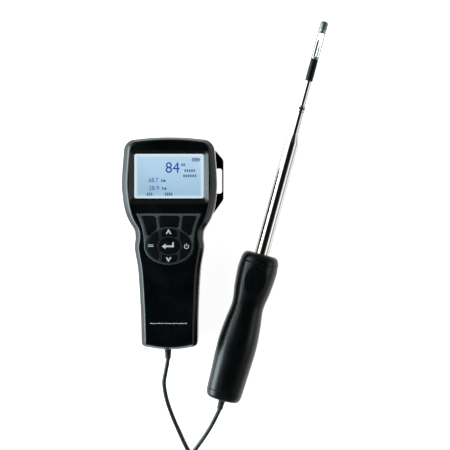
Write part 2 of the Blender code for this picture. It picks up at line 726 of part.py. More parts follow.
def shrunk(outline, inset):
    """Move every side of a closed outline inward by an inset."""
    area = sum(
        a[0] * b[1] - b[0] * a[1] for a, b in zip(outline, outline[1:] + outline[:1])
    )
    turn = 1 if area > 0 else -1
    moved = []
    for i, point in enumerate(outline):
        before, after = outline[i - 1], outline[(i + 1) % len(outline)]
        sides = []
        for start, end in ((before, point), (point, after)):
            length = hypot(end[0] - start[0], end[1] - start[1])
            sides.append((-(end[1] - start[1]) / length * turn, (end[0] - start[0]) / length * turn))
        (ax, ay), (bx, by) = sides
        scale = inset / max(1 + ax * bx + ay * by, 0.35)
        moved.append((point[0] + (ax + bx) * scale, point[1] + (ay + by) * scale))
    return moved


def make_keypad():
    flange_low = key_bottom() + KEY_TRAVEL
    under = CASE_DEPTH - FACE_WALL - GAP
    top = CASE_DEPTH + FRAME_RISE
    flange = keypad_outline(FRAME_FLANGE)
    body = keypad_outline(0.0)
    frame = prism(
        "keypad_frame",
        [
            at_height(flange, under - FRAME_FLANGE_HEIGHT),
            at_height(flange, under),
            at_height(body, under),
            at_height(body, top),
        ],
        RIB_GREY,
    )
    for name, outline in key_outlines().items():
        key = shrunk(outline, GAP)
        rim = shrunk(outline, GAP + 0.5 * MM)
        high = CASE_DEPTH + KEY_RISE
        loops = [at_height(key, key_bottom()), at_height(key, high - 0.4 * MM), at_height(rim, high)]
        prism(name, loops, KEY_BLACK)
        hole = [at_height(outline, flange_low - 2 * WALL), at_height(outline, top + WALL)]
        cut(frame, as_cutter(prism(name + "_hole", hole, RIB_GREY)))
    mat_top = key_bottom() - KEY_TRAVEL - GAP
    mat = [at_height(keypad_outline(FRAME_FLANGE), z) for z in (mat_top - MAT_HEIGHT, mat_top)]
    prism("keypad_mat", mat, RUBBER)


def make_board():
    low, high = board_top() - BOARD_THICKNESS, board_top()
    top_y = TOP_Y - TOP_CORNER - TOP_BOW
    bottom_y = bay_top_y() + RIB_WALL + GAP
    ys = [bottom_y + (top_y - bottom_y) * i / 10 for i in range(11)]
    right = [(case_half_width(y) - WALL - 3 * GAP, y) for y in ys]
    outline = right + [(-x, y) for x, y in reversed(right)]
    board = prism("main_board", [at_height(outline, low), at_height(outline, high)], BOARD_GREEN)
    holes = rods("board_post_holes", POST_DIAMETER + 2 * GAP, low - WALL, high + WALL, screw_places())
    cut(board, holes)


# ---------------------------------------------------------------- battery bay and case fittings


def cell_layers():
    low = COVER_THICKNESS + 2 * GAP + CELL_DIAMETER / 2
    return low, low + CELL_DIAMETER + GAP


def make_batteries():
    body_start = BAY_BOTTOM_Y + CONTACT_THICKNESS + 2 * GAP
    body_end = body_start + CELL_LENGTH
    radius = CELL_DIAMETER / 2
    profile = [
        (0, body_start),
        (radius - 0.6 * MM, body_start),
        (radius, body_start + 0.6 * MM),
        (radius, body_end - 0.6 * MM),
        (radius - 0.6 * MM, body_end),
        (2.7 * MM, body_end),
        (2.7 * MM, body_end + CELL_NUB - GAP),
        (0, body_end + CELL_NUB - GAP),
    ]
    number = 0
    for z in cell_layers():
        for side in (-1, 1):
            number += 1
            origin = (side * (CELL_DIAMETER + GAP) / 2, 0, z)
            turned(f"battery_{number}", profile, CELL_WRAP, None, origin, "Y", 14)
    half = CELL_DIAMETER
    low, high = COVER_THICKNESS + 2 * GAP, cell_layers()[1] + radius
    rear = BAY_BOTTOM_Y + GAP
    box("battery_contact_rear", (-half, rear, low), (half, rear + CONTACT_THICKNESS, high), BRASS)
    front = bay_top_y() - GAP
    box("battery_contact_front", (-half, front - CONTACT_THICKNESS, low), (half, front, high), BRASS)


def make_battery_cover():
    cover = prism("battery_cover", cover_loops(0.0, 0.15 * MM, COVER_THICKNESS), CASE_BLACK)
    middle = (bay_top_y() + BAY_BOTTOM_Y) / 2
    for i in range(3):
        y = middle - (i - 1) * 3.0 * MM - 16.0 * MM
        groove = box(f"cover_groove_{i}", (-8 * MM, y, -WALL), (8 * MM, y + 1.2 * MM, 0.7 * MM), CASE_BLACK)
        cut(cover, as_cutter(groove))


def make_screws():
    profile = [
        (0, 1.2 * MM),
        (SCREW_HEAD / 2 * 0.8, 1.2 * MM),
        (SCREW_HEAD / 2, 1.7 * MM),
        (SCREW_HEAD / 2, SCREW_DEPTH - GAP),
        (SCREW_SHANK / 2, SCREW_DEPTH - GAP),
        (SCREW_SHANK / 2, screw_tip_z()),
        (0, screw_tip_z()),
    ]
    for number, (x, y) in enumerate(screw_places(), 1):
        screw = turned(f"case_screw_{number}", profile, STEEL, None, (x, y, 0), "Z", 12)
        for turn, size in (("a", (1.6, 0.4)), ("b", (0.4, 1.6))):
            low = (x - size[0] * MM, y - size[1] * MM, 0)
            high = (x + size[0] * MM, y + size[1] * MM, 2.0 * MM)
            cut(screw, as_cutter(box(f"screw_slot_{number}{turn}", low, high, STEEL)))


def make_sockets():
    end = -TOP_Y
    radius = JACK_DIAMETER / 2
    profile = [
        (0, end + 3 * WALL),
        (radius, end + 3 * WALL),
        (radius, end + SOCKET_SET_IN),
        (radius - 1.4 * MM, end + SOCKET_SET_IN),
        (radius - 1.4 * MM, end + 2 * WALL),
        (0, end + 2 * WALL),
    ]
    turned("dc_jack", profile, SENSOR_DARK, None, (JACK_X, 0, SOCKET_Z), "Y", 16)
    port = prism("data_port", port_loops(0.0, end + SOCKET_SET_IN, end + 3 * WALL), STEEL)
    mouth = rounded_rectangle((PORT_X, SOCKET_Z), PORT_WIDTH - 1.6 * MM, PORT_HEIGHT - 1.6 * MM, 0.6 * MM, 3)
    loops = [[Vector((x, y, z)) for x, z in mouth] for y in (end - WALL, end + 2 * WALL)]
    cut(port, as_cutter(prism("port_mouth", loops, STEEL)))


def gland_profile(face):
    """A grommet seated in the wall at y = face that tapers along the cord towards -Y, with a bore."""
    bore = GLAND_BORE / 2
    big = GLAND_DIAMETER / 2
    small = GLAND_TIP / 2
    return [
        (bore, face + 2 * WALL),
        (big, face + 2 * WALL),
        (big, face),
        (big - 0.6 * MM, face - 1.2 * MM),
        (small + 0.5 * MM, face - GLAND_LENGTH * 0.6),
        (small, face - GLAND_LENGTH),
        (bore, face - GLAND_LENGTH),
    ]


# ---------------------------------------------------------------- probe


def handle_half_width(s):
    """Half of the handle's width at a distance s from its cord end."""
    stations = [
        (0.0, HANDLE_END_WIDTH / 2),
        (HANDLE_LENGTH * 0.15, HANDLE_BULGE_WIDTH / 2 - 1.0 * MM),
        (HANDLE_LENGTH * 0.38, HANDLE_BULGE_WIDTH / 2),
        (HANDLE_LENGTH * 0.52, (HANDLE_BULGE_WIDTH * 0.57 + HANDLE_WAIST_WIDTH * 0.43) / 2),
        (HANDLE_LENGTH * 0.645, HANDLE_WAIST_WIDTH / 2),
        (HANDLE_LENGTH * 0.76, (HANDLE_BULGE_WIDTH * 0.62 + HANDLE_WAIST_WIDTH * 0.38) / 2),
        (HANDLE_LENGTH * 0.88, HANDLE_BULGE_WIDTH / 2),
        (HANDLE_LENGTH - HANDLE_NOSE, HANDLE_BULGE_WIDTH / 2 - 0.4 * MM),
        (HANDLE_LENGTH, HANDLE_BULGE_WIDTH / 2 - 1.0 * MM),
    ]
    return smooth_reading(stations, s)


def handle_arc(s, inset, start, end, steps, shrink=1.0):
    """Part of the handle's rounded section at s, from one angle to another."""
    half_x = (handle_half_width(s) - inset) * shrink
    half_z = (min(handle_half_width(s) * HANDLE_DEPTH_RATIO, PROBE_Z) - inset) * shrink
    points = []
    for i in range(steps + 1):
        angle = start + (end - start) * i / steps
        c, d = cos(angle), sin(angle)
        x = half_x * abs(c) ** 0.85 * (1 if c >= 0 else -1)
        z = half_z * abs(d) ** 0.85 * (1 if d >= 0 else -1)
        points.append((x, z))
    return points


def make_half_handle(name, upper, parent):
    """One half of the handle's shell: a trough between the end cap and the nose."""
    steps = 12
    start, end = HANDLE_END + GAP, HANDLE_LENGTH - HANDLE_NOSE - GAP
    base = 0.0 if upper else pi
    split = GAP / 2 if upper else -GAP / 2
    bm = bmesh.new()
    rows = []
    stations = 16
    for k in range(stations + 1):
        s = start + (end - start) * k / stations
        outer = handle_arc(s, 0.0, base, base + pi, steps)
        inner = handle_arc(s, HANDLE_WALL, base + pi, base, steps)
        loop = []
        for x, z in outer + inner:
            z = max(z, split) if upper else min(z, split)
            loop.append(bm.verts.new((x, s, z)))
        rows.append(loop)
    count = len(rows[0])
    for low, high in zip(rows, rows[1:]):
        for i in range(count):
            j = (i + 1) % count
            bm.faces.new((low[i], low[j], high[j], high[i]))
    for row in (rows[0], rows[-1]):
        for i in range(steps):
            bm.faces.new((row[i], row[i + 1], row[count - 2 - i], row[count - 1 - i]))
    return finish(name, bm, CASE_BLACK, parent, 50.0)


def handle_ring(s, shrink, steps=24):
    return [Vector((x, s, z)) for x, z in handle_arc(s, 0.0, 0.0, 2 * pi, steps, shrink)[:-1]]


def section_diameter(number):
    """Outer diameter of a telescoping section; each inner one clears the wall round it."""
    return INNER_SECTION_DIAMETER + 2 * (SECTION_COUNT - number) * (SECTION_WALL + GAP)


def make_handle(parent):
    front = make_half_handle("handle_front_shell", True, parent)
    dish = bmesh.new()
    bmesh.ops.create_uvsphere(dish, u_segments=20, v_segments=12, radius=1.0)
    dish_s = HANDLE_LENGTH - DISH_FROM_TOP
    top = handle_arc(dish_s, 0.0, pi / 2, pi / 2, 1)[0][1]
    bulge = 3.2
    reach = DISH_DEPTH * bulge
    spread = sqrt(1 - (1 - 1 / bulge) ** 2)
    size = Matrix.Diagonal((DISH_WIDTH / 2 / spread, DISH_LENGTH / 2 / spread, reach, 1.0))
    place = Matrix.Translation((0, dish_s, top + reach - DISH_DEPTH))
    bmesh.ops.transform(dish, matrix=place @ size, verts=dish.verts)
    cut(front, as_cutter(finish("thumb_dish", dish, CASE_BLACK, parent)))
    make_half_handle("handle_rear_shell", False, parent)

    shares = [0.76, 0.87, 0.955, 1.0]
    depths = [0.0, 0.12, 0.38, 1.0]
    loops = [handle_ring(HANDLE_END * d, k) for k, d in zip(shares, depths)]
    cap = prism("handle_end_cap", loops, CASE_BLACK, parent, 50.0)
    bore = rod("end_cap_bore", GLAND_DIAMETER + 2 * GAP, -WALL, HANDLE_END + WALL, CASE_BLACK, parent)
    cut(cap, as_cutter(bore))
    start = HANDLE_LENGTH - HANDLE_NOSE
    shares = [1.0, 0.985, 0.93, 0.83, 0.68]
    depths = [0.0, 0.4, 0.74, 0.93, 1.0]
    loops = [handle_ring(start + HANDLE_NOSE * d, k) for k, d in zip(shares, depths)]
    nose = prism("handle_nose", loops, CASE_BLACK, parent, 50.0)
    tube_bore = rod(
        "nose_bore", section_diameter(1) + 2 * GAP, start - WALL, HANDLE_LENGTH + WALL, CASE_BLACK, parent
    )
    cut(nose, as_cutter(tube_bore))


def section_start(number):
    return TUBE_START + 4.0 * MM * number


def section_end(number):
    """Where a section's mouth is with the probe as far in as it stands on the table."""
    end = HANDLE_LENGTH + BASE_TUBE_OUT
    if number == 1:
        return end
    end += SECTION_STEP_LENGTH * min(number - 1, SECTION_COUNT - 2)
    return end if number < SECTION_COUNT else end + LAST_SECTION_OUT


def tube_profile(outer, inner, start, end):
    lip = 0.15 * MM
    return [
        (inner, start),
        (outer, start),
        (outer, end - lip),
        (outer - lip, end),
        (inner, end),
    ]


def make_telescope(parent):
    for number in range(1, SECTION_COUNT + 1):
        outer = section_diameter(number) / 2
        profile = tube_profile(outer, outer - SECTION_WALL, section_start(number), section_end(number))
        turned(f"probe_tube_{number}", profile, CHROME, parent, (0, 0, 0), "Y", 20)
    end = section_end(SECTION_COUNT) + GAP
    outer = INNER_SECTION_DIAMETER / 2 + 0.3 * MM
    stem = STEM_DIAMETER / 2
    collar = [
        (stem + GAP, end),
        (outer - 0.3 * MM, end),
        (outer, end + 0.5 * MM),
        (outer, end + COLLAR_LENGTH - 0.8 * MM),
        (stem + 0.6 * MM, end + COLLAR_LENGTH),
        (stem + GAP, end + COLLAR_LENGTH),
    ]
    turned("probe_collar", collar, CHROME, parent, (0, 0, 0), "Y", 20)
    stem_end = end + COLLAR_LENGTH + STEM_LENGTH
    profile = tube_profile(stem, stem - SECTION_WALL - 0.2 * MM, end, stem_end)
    turned("probe_stem", profile, CHROME, parent, (0, 0, 0), "Y", 20)
    return stem_end


def make_sensor_head(start, parent):
    radius = SLEEVE_DIAMETER / 2
    sleeve_end = start + GAP + SLEEVE_LENGTH
    profile = [
        (0, start + GAP),
        (radius - 0.4 * MM, start + GAP),
        (radius, start + GAP + 0.5 * MM),
        (radius, sleeve_end - 0.4 * MM),
        (radius - 0.4 * MM, sleeve_end),
        (0, sleeve_end),
    ]
    turned("tip_sleeve", profile, KEY_BLACK, parent, (0, 0, 0), "Y", 20)
    guard_start = sleeve_end + GAP
    guard_end = guard_start + WINDOW_LENGTH
    inner = radius - 0.55 * MM
    profile = [(inner, guard_start), (radius, guard_start), (radius, guard_end), (inner, guard_end)]
    guard = turned("sensor_guard", profile, STEEL, parent, (0, 0, 0), "Y", 20)
    band = 2.0 * MM
    half = sqrt(radius**2 - (RAIL_WIDTH) ** 2)
    low = (-half + RAIL_WIDTH * 0.4, guard_start + band, -radius - WALL)
    high = (half - RAIL_WIDTH * 0.4, guard_end - band, radius + WALL)
    cut(guard, as_cutter(box("guard_window", low, high, STEEL, parent)))
    sensors = (
        ("velocity_sensor", -1.1 * MM, SENSOR_DIAMETER, SENSOR_LENGTH, SENSOR_DARK),
        ("temperature_sensor", 1.1 * MM, SENSOR_DIAMETER * 0.7, SENSOR_LENGTH * 0.7, STEEL),
    )
    for name, x, diameter, length, look in sensors:
        profile = [
            (0, guard_start),
            (diameter / 2, guard_start),
            (diameter / 2, guard_start + length - 1.0 * MM),
            (diameter * 0.3, guard_start + length),
            (0, guard_start + length),
        ]
        turned(name, profile, look, parent, (x, 0, 0), "Y", 10)
    tip_start = guard_end + GAP
    tip = TIP_DIAMETER / 2
    profile = [
        (0, tip_start),
        (tip, tip_start),
        (tip, tip_start + TIP_LENGTH * 0.72),
        (tip * 0.86, tip_start + TIP_LENGTH * 0.92),
        (tip * 0.6, tip_start + TIP_LENGTH),
        (0, tip_start + TIP_LENGTH),
    ]
    turned("tip_cap", profile, CHROME, parent, (0, 0, 0), "Y", 20)


def probe_frame():
    frame = bpy.data.objects.new("probe_frame", None)
    bpy.context.scene.collection.objects.link(frame)
    frame.location = (*PROBE_BASE, PROBE_Z)
    frame.rotation_euler = (0, 0, radians(PROBE_TURN))
    return frame


# ---------------------------------------------------------------- cord


METER_ROUTE = [
    (-4.0, -110.4, 17.2),
    (-5.6, -121.0, 14.4),
    (-3.6, -135.2, 9.6),
    (0.6, -149.2, 5.2),
    (6.2, -163.2, 2.4),
    (14.2, -180.2, 2.1),
    (24.4, -194.6, 2.0),
    (32.0, -204.8, 2.0),
    (37.0, -213.2, 2.0),
]
PROBE_ROUTE = [
    (36.6, -154.7, 15.4),
    (31.0, -164.7, 12.4),
    (24.4, -174.8, 8.8),
    (17.2, -184.6, 6.4),
    (9.0, -193.0, 4.6),
    (-0.6, -201.8, 3.0),
    (-9.0, -213.2, 2.0),
]


def curve_through(points, spacing):
    """Points at an even spacing along a smooth curve through the route's points."""
    ends = [2 * points[0] - points[1]] + points + [2 * points[-1] - points[-2]]
    dense = []
    for a, b, c, d in zip(ends, ends[1:], ends[2:], ends[3:]):
        for i in range(24):
            t = i / 24
            square = (2 * a - 5 * b + 4 * c - d) * t**2
            cube = (3 * b - a - 3 * c + d) * t**3
            dense.append(0.5 * (2 * b + (c - a) * t + square + cube))
    dense.append(points[-1])
    total = sum((q - p).length for p, q in zip(dense, dense[1:]))
    count = max(2, round(total / spacing))
    even = [dense[0]]
    walked, target = 0.0, total / count
    for p, q in zip(dense, dense[1:]):
        step = (q - p).length
        while step and walked + step >= target * len(even) - 1e-9 and len(even) < count:
            even.append(p.lerp(q, (target * len(even) - walked) / step))
        walked += step
    even.append(dense[-1])
    return even


def cord_tube(name, points):
    curve = bpy.data.curves.new(name, "CURVE")
    curve.dimensions = "3D"
    curve.bevel_depth = CORD_DIAMETER / 2
    curve.bevel_resolution = 2
    curve.use_fill_caps = True
    even = curve_through(points, 2.6 * CORD_DIAMETER)
    spline = curve.splines.new("POLY")
    spline.points.add(len(even) - 1)
    for place, point in zip(spline.points, even):
        place.co = (*point, 1.0)
    add_object(name, curve, CORD_BLACK)


def on_route(route):
    return [Vector(point) * MM for point in route]


def make_cord(frame):
    end = -TOP_Y
    turned("meter_cord_gland", gland_profile(end), RUBBER, None, (CORD_EXIT_X, 0, CORD_Z), "Y", 16)
    turned("probe_cord_gland", gland_profile(0.0), RUBBER, frame, (0, 0, 0), "Y", 16)
    start = Vector((CORD_EXIT_X, end + WALL, CORD_Z))
    mouth = Vector((CORD_EXIT_X, end - GLAND_LENGTH, CORD_Z))
    cord_tube("cord_meter_lead", [start, mouth] + on_route(METER_ROUTE))
    turn = frame_matrix()
    start = turn @ Vector((0, WALL, 0))
    mouth = turn @ Vector((0, -GLAND_LENGTH, 0))
    cord_tube("cord_probe_lead", [start, mouth] + on_route(PROBE_ROUTE))
    make_coil()


def frame_matrix():
    return Matrix.Translation((*PROBE_BASE, PROBE_Z)) @ Matrix.Rotation(radians(PROBE_TURN), 4, "Z")


def make_coil():
    """The rest of the cord in one coil, lifted by the tie that goes round the bundle."""
    half_w, half_h = COIL_WIDTH / 2, COIL_HEIGHT / 2
    middle = TIE_THICKNESS + 2 * GAP + half_h
    profile = []
    for i in range(10):
        angle = 2 * pi * i / 10 + pi / 10
        profile.append((COIL_RADIUS + half_w * cos(angle), middle + half_h * sin(angle)))
    turned("cord_coil", profile, CORD_BLACK, None, (*COIL_CENTRE, 0), "Z", 28, 60.0)

    room = 2 * GAP
    size = (COIL_WIDTH + 2 * room, COIL_HEIGHT + 2 * room)
    inner = rounded_rectangle((COIL_RADIUS, middle), *size, 3.0 * MM)
    outer_size = [side + 2 * TIE_THICKNESS for side in size]
    outer = rounded_rectangle((COIL_RADIUS, middle), *outer_size, 3.5 * MM)
    spin = Matrix.Translation((*COIL_CENTRE, 0)) @ Matrix.Rotation(radians(TIE_TURN), 4, "Z")
    bm = bmesh.new()
    loops = []
    for outline, y in ((outer, -1), (outer, 1), (inner, 1), (inner, -1)):
        loops.append([spin @ Vector((x, y * TIE_WIDTH / 2, z)) for x, z in outline])
    rows = add_loops(bm, loops)
    for i in range(len(rows[0])):
        j = (i + 1) % len(rows[0])
        bm.faces.new((rows[-1][i], rows[-1][j], rows[0][j], rows[0][i]))
    finish("cord_coil_tie", bm, RUBBER, None, 60.0)


def main():
    clear_scene()
    make_front_shell()
    make_rear_shell()
    make_strap_bracket()
    make_display()
    make_keypad()
    make_board()
    make_batteries()
    make_battery_cover()
    make_screws()
    make_sockets()
    frame = probe_frame()
    make_handle(frame)
    stem_end = make_telescope(frame)
    make_sensor_head(stem_end, frame)
    make_cord(frame)


main()
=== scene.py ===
"""The looks of a handheld air-velocity meter and its telescoping probe on a pale table."""

from math import acos, atan2, cos, degrees, hypot, pi, radians, sin, sqrt

import bmesh
import bpy
from mathutils import Matrix, Vector


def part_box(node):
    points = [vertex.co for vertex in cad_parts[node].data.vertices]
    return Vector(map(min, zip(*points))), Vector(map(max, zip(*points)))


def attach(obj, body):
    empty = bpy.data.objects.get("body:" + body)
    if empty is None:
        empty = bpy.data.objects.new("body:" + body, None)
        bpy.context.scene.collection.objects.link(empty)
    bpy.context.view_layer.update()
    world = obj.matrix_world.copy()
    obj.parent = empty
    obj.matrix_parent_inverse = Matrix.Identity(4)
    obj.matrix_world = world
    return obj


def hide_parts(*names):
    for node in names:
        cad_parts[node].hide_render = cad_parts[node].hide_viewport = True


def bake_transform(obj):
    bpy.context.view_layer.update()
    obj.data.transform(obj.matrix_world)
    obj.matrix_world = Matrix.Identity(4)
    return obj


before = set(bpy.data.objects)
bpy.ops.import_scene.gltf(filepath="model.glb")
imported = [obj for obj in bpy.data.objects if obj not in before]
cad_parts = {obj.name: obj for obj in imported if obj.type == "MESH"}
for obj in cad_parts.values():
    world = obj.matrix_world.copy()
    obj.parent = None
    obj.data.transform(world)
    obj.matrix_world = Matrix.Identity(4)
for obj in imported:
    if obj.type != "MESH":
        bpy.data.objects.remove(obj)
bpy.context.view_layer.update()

MM = 0.001
GAP = 0.3 * MM

# ---------------------------------------------------------------- sizes, as in the CAD part

CASE_LENGTH = 179.6 * MM
CASE_DEPTH = 44.0 * MM
TOP_Y = CASE_LENGTH / 2
HEAD_WIDTH = 80.2 * MM
HEAD_TOP_WIDTH = 76.4 * MM
HEAD_Y = TOP_Y - 38.0 * MM
SHOULDER_WIDTH = 66.8 * MM
SHOULDER_Y = TOP_Y - 71.5 * MM
WAIST_WIDTH = 57.0 * MM
WAIST_Y = TOP_Y - 85.0 * MM
KEYPAD_BULGE_WIDTH = 58.4 * MM
KEYPAD_BULGE_Y = TOP_Y - 93.0 * MM
GRIP_WIDTH = 48.8 * MM
GRIP_END_WIDTH = 47.6 * MM
GRIP_Y = 34.0 * MM - TOP_Y
FACE_SLOPE_Y = TOP_Y - 113.0 * MM
FACE_DROP = 6.0 * MM
FACE_WALL = 3.0 * MM
WALL = 2.2 * MM
RIB_WALL = 1.6 * MM
TOP_CORNER = 10.0 * MM
BOTTOM_CORNER = 6.0 * MM
TOP_BOW = 1.8 * MM
BOTTOM_BOW = 2.0 * MM
PARTING_Z = 26.0 * MM
SEAM_INSET = 0.35 * MM
SEAM_RISE = 0.55 * MM
HEAD_CHAMFER = 5.2 * MM
GRIP_CHAMFER = 3.8 * MM
END_CHAMFER = 2.6 * MM
CHAMFER_DEPTH = 5.5 * MM
BACK_FILLET = 6.0 * MM

VIEW_WIDTH = 58.0 * MM
VIEW_HEIGHT = 37.2 * MM
VIEW_TOP_Y = TOP_Y - 14.4 * MM
VIEW_CENTRE_Y = VIEW_TOP_Y - VIEW_HEIGHT / 2
WINDOW_SIDE_BEVEL = 4.0 * MM
WINDOW_TOP_BEVEL = 2.4 * MM
WINDOW_BOTTOM_BEVEL = 4.4 * MM

KEYPAD_HALF_WIDTH = 20.6 * MM
KEYPAD_HALF_HEIGHT = 15.8 * MM
KEYPAD_CENTRE_Y = TOP_Y - 91.4 * MM
KEYPAD_TOP_Y = KEYPAD_CENTRE_Y + 27.0 * MM
KEYPAD_TOP_HALF = 27.2 * MM
RIB = 1.9 * MM
RING_HALF_WIDTH = 18.4 * MM
RING_HALF_HEIGHT = 13.9 * MM
ENTER_HALF_WIDTH = 9.2 * MM
ENTER_HALF_HEIGHT = 6.9 * MM
KEY_SPLIT_X = 7.7 * MM
KEY_CORNER = 2.4 * MM
SOFTKEY_SPLIT_X = 10.0 * MM
KEY_TOP = CASE_DEPTH + 0.8 * MM
KEY_BOTTOM = KEY_TOP - 6.6 * MM
FRAME_TOP = CASE_DEPTH + 0.3 * MM

BAY_BOTTOM_Y = 14.0 * MM - TOP_Y
BAY_TOP_Y = BAY_BOTTOM_Y + 53.5 * MM
COVER_WIDTH = 33.0 * MM
COVER_THICKNESS = 1.9 * MM
POST_DIAMETER = 8.2 * MM
SCREW_SHANK = 2.6 * MM
SCREW_HEAD = 5.2 * MM
SCREW_DEPTH = 4.0 * MM
SCREW_TIP_Z = 30.0 * MM
SCREW_PLACES = ((-27.5, 81.3), (27.5, 81.3), (-22.5, -13.7), (22.5, -13.7))

BRACKET_REACH = 45.7 * MM
BRACKET_BOTTOM_Y = 25.2 * MM
BRACKET_TOP_Y = 80.1 * MM
BRACKET_SLANT = 9.5 * MM
BRACKET_FOOT_SLANT = 13.0 * MM
BRACKET_BAR = 1.2 * MM
BRACKET_Z = 12.0 * MM
BRACKET_HEIGHT = 9.0 * MM
SLOT_BOTTOM_Y = 42.8 * MM
SLOT_TOP_Y = 64.3 * MM

CORD_DIAMETER = 3.6 * MM
CORD_STEP = 1.5 * MM
CORD_EXIT = (-2.0 * MM, -87.6 * MM, 18.0 * MM)
GLAND_BORE = 4.2 * MM
GLAND_DIAMETER = 8.0 * MM
GLAND_TIP = 5.0 * MM
GLAND_LENGTH = 9.0 * MM
COIL_CENTRE = (14.0, -232.7)
COIL_RADIUS = 23.0
COIL_MIDDLE_Z = 7.4
COIL_PITCH = 3.7

PROBE_TURN = 15.2
PROBE_Z = 16.1 * MM
PROBE_BASE = Matrix.Translation((44.7 * MM, -134.1 * MM, PROBE_Z))
PROBE_PLACE = PROBE_BASE @ Matrix.Rotation(radians(-PROBE_TURN), 4, "Z")
HANDLE_LENGTH = 129.4 * MM
HANDLE_END = 7.0 * MM
HANDLE_NOSE = 8.0 * MM
HANDLE_BULGE_WIDTH = 34.0 * MM
HANDLE_WAIST_WIDTH = 27.7 * MM
HANDLE_END_WIDTH = 30.6 * MM
HANDLE_DEPTH_RATIO = 0.945
HANDLE_WALL = 2.0 * MM
HANDLE_SEGMENTS = 96
DISH_LENGTH = 24.0 * MM
DISH_WIDTH = 17.0 * MM
DISH_DEPTH = 1.2 * MM
DISH_FROM_TOP = 22.5 * MM
SECTION_DIAMETERS = (12.7, 11.4, 10.1, 8.8, 7.5)
SECTION_STARTS = (18.0, 22.0, 26.0, 30.0, 34.0)
SECTION_ENDS = (229.4, 231.4, 233.4, 235.4, 256.1)
SECTION_WALL = 0.35
END_GAP = 0.3
COLLAR_LENGTH = 5.0
STEM_LENGTH = 22.2
SLEEVE_LENGTH = 19.0
GUARD_LENGTH = 26.0
CAGE_BAR = 2.6
CAGE_END = 2.0
HEAD_RADIUS = 3.35
# The collar's dimples and the dark balls in them, painted shade: radius, and distance from the axis.
DIMPLE = (1.05, 4.05)
DIMPLE_SHADE = (0.95, 3.42)


# ---------------------------------------------------------------- camera


def make_camera():
    data = bpy.data.cameras.new("camera")
    data.sensor_width = 36.0
    data.lens = 86.7
    data.clip_start = 0.05
    data.clip_end = 20.0
    camera = bpy.data.objects.new("camera", data)
    camera.location = (0.0470, 0.0158, 0.950)
    bpy.context.scene.collection.objects.link(camera)
    bpy.context.scene.camera = camera


# ---------------------------------------------------------------- curves and outlines


def smooth_reading(stations, at):
    """Read a smooth curve through (position, value) stations, flat beyond the first and last."""
    if at <= stations[0][0]:
        return stations[0][1]
    if at >= stations[-1][0]:
        return stations[-1][1]
    last = len(stations) - 1
    slopes = []
    for i in range(last + 1):
        before, after = stations[max(i - 1, 0)], stations[min(i + 1, last)]
        slopes.append((after[1] - before[1]) / (after[0] - before[0]))
    i = max(k for k in range(last) if stations[k][0] <= at)
    (x0, y0), (x1, y1) = stations[i], stations[i + 1]
    span = x1 - x0
    t = (at - x0) / span
    return (
        (1 + 2 * t) * (1 - t) ** 2 * y0
        + t * (1 - t) ** 2 * span * slopes[i]
        + t * t * (3 - 2 * t) * y1
        + t * t * (t - 1) * span * slopes[i + 1]
    )


def smoothstep(t):
    t = min(1.0, max(0.0, t))
    return t * t * (3 - 2 * t)


def bezier(a, b, c, steps):
    """Points along a quadratic curve from a to c, drawn towards b."""
    points = []
    for i in range(steps + 1):
        t = i / steps
        weights = ((1 - t) ** 2, 2 * t * (1 - t), t * t)
        points.append(tuple(sum(w * p[k] for w, p in zip(weights, (a, b, c))) for k in range(len(a))))
    return points


def curve_through(points, spacing):
    """Points at an even spacing along a smooth curve through the route's points."""
    ends = [2 * points[0] - points[1]] + points + [2 * points[-1] - points[-2]]
    dense = []
    for a, b, c, d in zip(ends, ends[1:], ends[2:], ends[3:]):
        for i in range(24):
            t = i / 24
            square = (2 * a - 5 * b + 4 * c - d) * t**2
            cube = (3 * b - a - 3 * c + d) * t**3
            dense.append(0.5 * (2 * b + (c - a) * t + square + cube))
    dense.append(points[-1])
    total = sum((q - p).length for p, q in zip(dense, dense[1:]))
    count = max(2, round(total / spacing))
    even = [dense[0]]
    walked, target = 0.0, total / count
    for p, q in zip(dense, dense[1:]):
        step = (q - p).length
        while step and walked + step >= target * len(even) - 1e-9 and len(even) < count:
            even.append(p.lerp(q, (target * len(even) - walked) / step))
        walked += step
    even.append(dense[-1])
    return even


def at_height(outline, z):
    return [Vector((x, y, z)) for x, y in outline]


def rounded_rectangle(centre, width, height, radius, steps=8):
    points = []
    for side, up, start in ((1, -1, -90), (1, 1, 0), (-1, 1, 90), (-1, -1, 180)):
        cx = centre[0] + side * (width / 2 - radius)
        cy = centre[1] + up * (height / 2 - radius)
        for i in range(steps + 1):
            angle = radians(start + 90 * i / steps)
            points.append((cx + radius * cos(angle), cy + radius * sin(angle)))
    return points


def mirrored_outline(right):
    """Close an outline whose first and last points lie on the middle line with its mirror image."""
    return right + [(-x, y) for x, y in reversed(right[1:-1])]


def ellipse(centre, half_x, half_y, count):
    turns = [2 * pi * i / count - pi / 2 for i in range(count)]
    return [(centre[0] + half_x * cos(t), centre[1] + half_y * sin(t)) for t in turns]


def shrunk(outline, inset):
    """Move every side of a closed outline inward by an inset."""
    area = sum(a[0] * b[1] - b[0] * a[1] for a, b in zip(outline, outline[1:] + outline[:1]))
    turn = 1 if area > 0 else -1
    moved = []
    for i, point in enumerate(outline):
        before, after = outline[i - 1], outline[(i + 1) % len(outline)]
        sides = []
        for start, end in ((before, point), (point, after)):
            length = hypot(end[0] - start[0], end[1] - start[1])
            sides.append((-(end[1] - start[1]) / length * turn, (end[0] - start[0]) / length * turn))
        (ax, ay), (bx, by) = sides
        scale = inset / max(1 + ax * bx + ay * by, 0.35)
        moved.append((point[0] + (ax + bx) * scale, point[1] + (ay + by) * scale))
    return moved


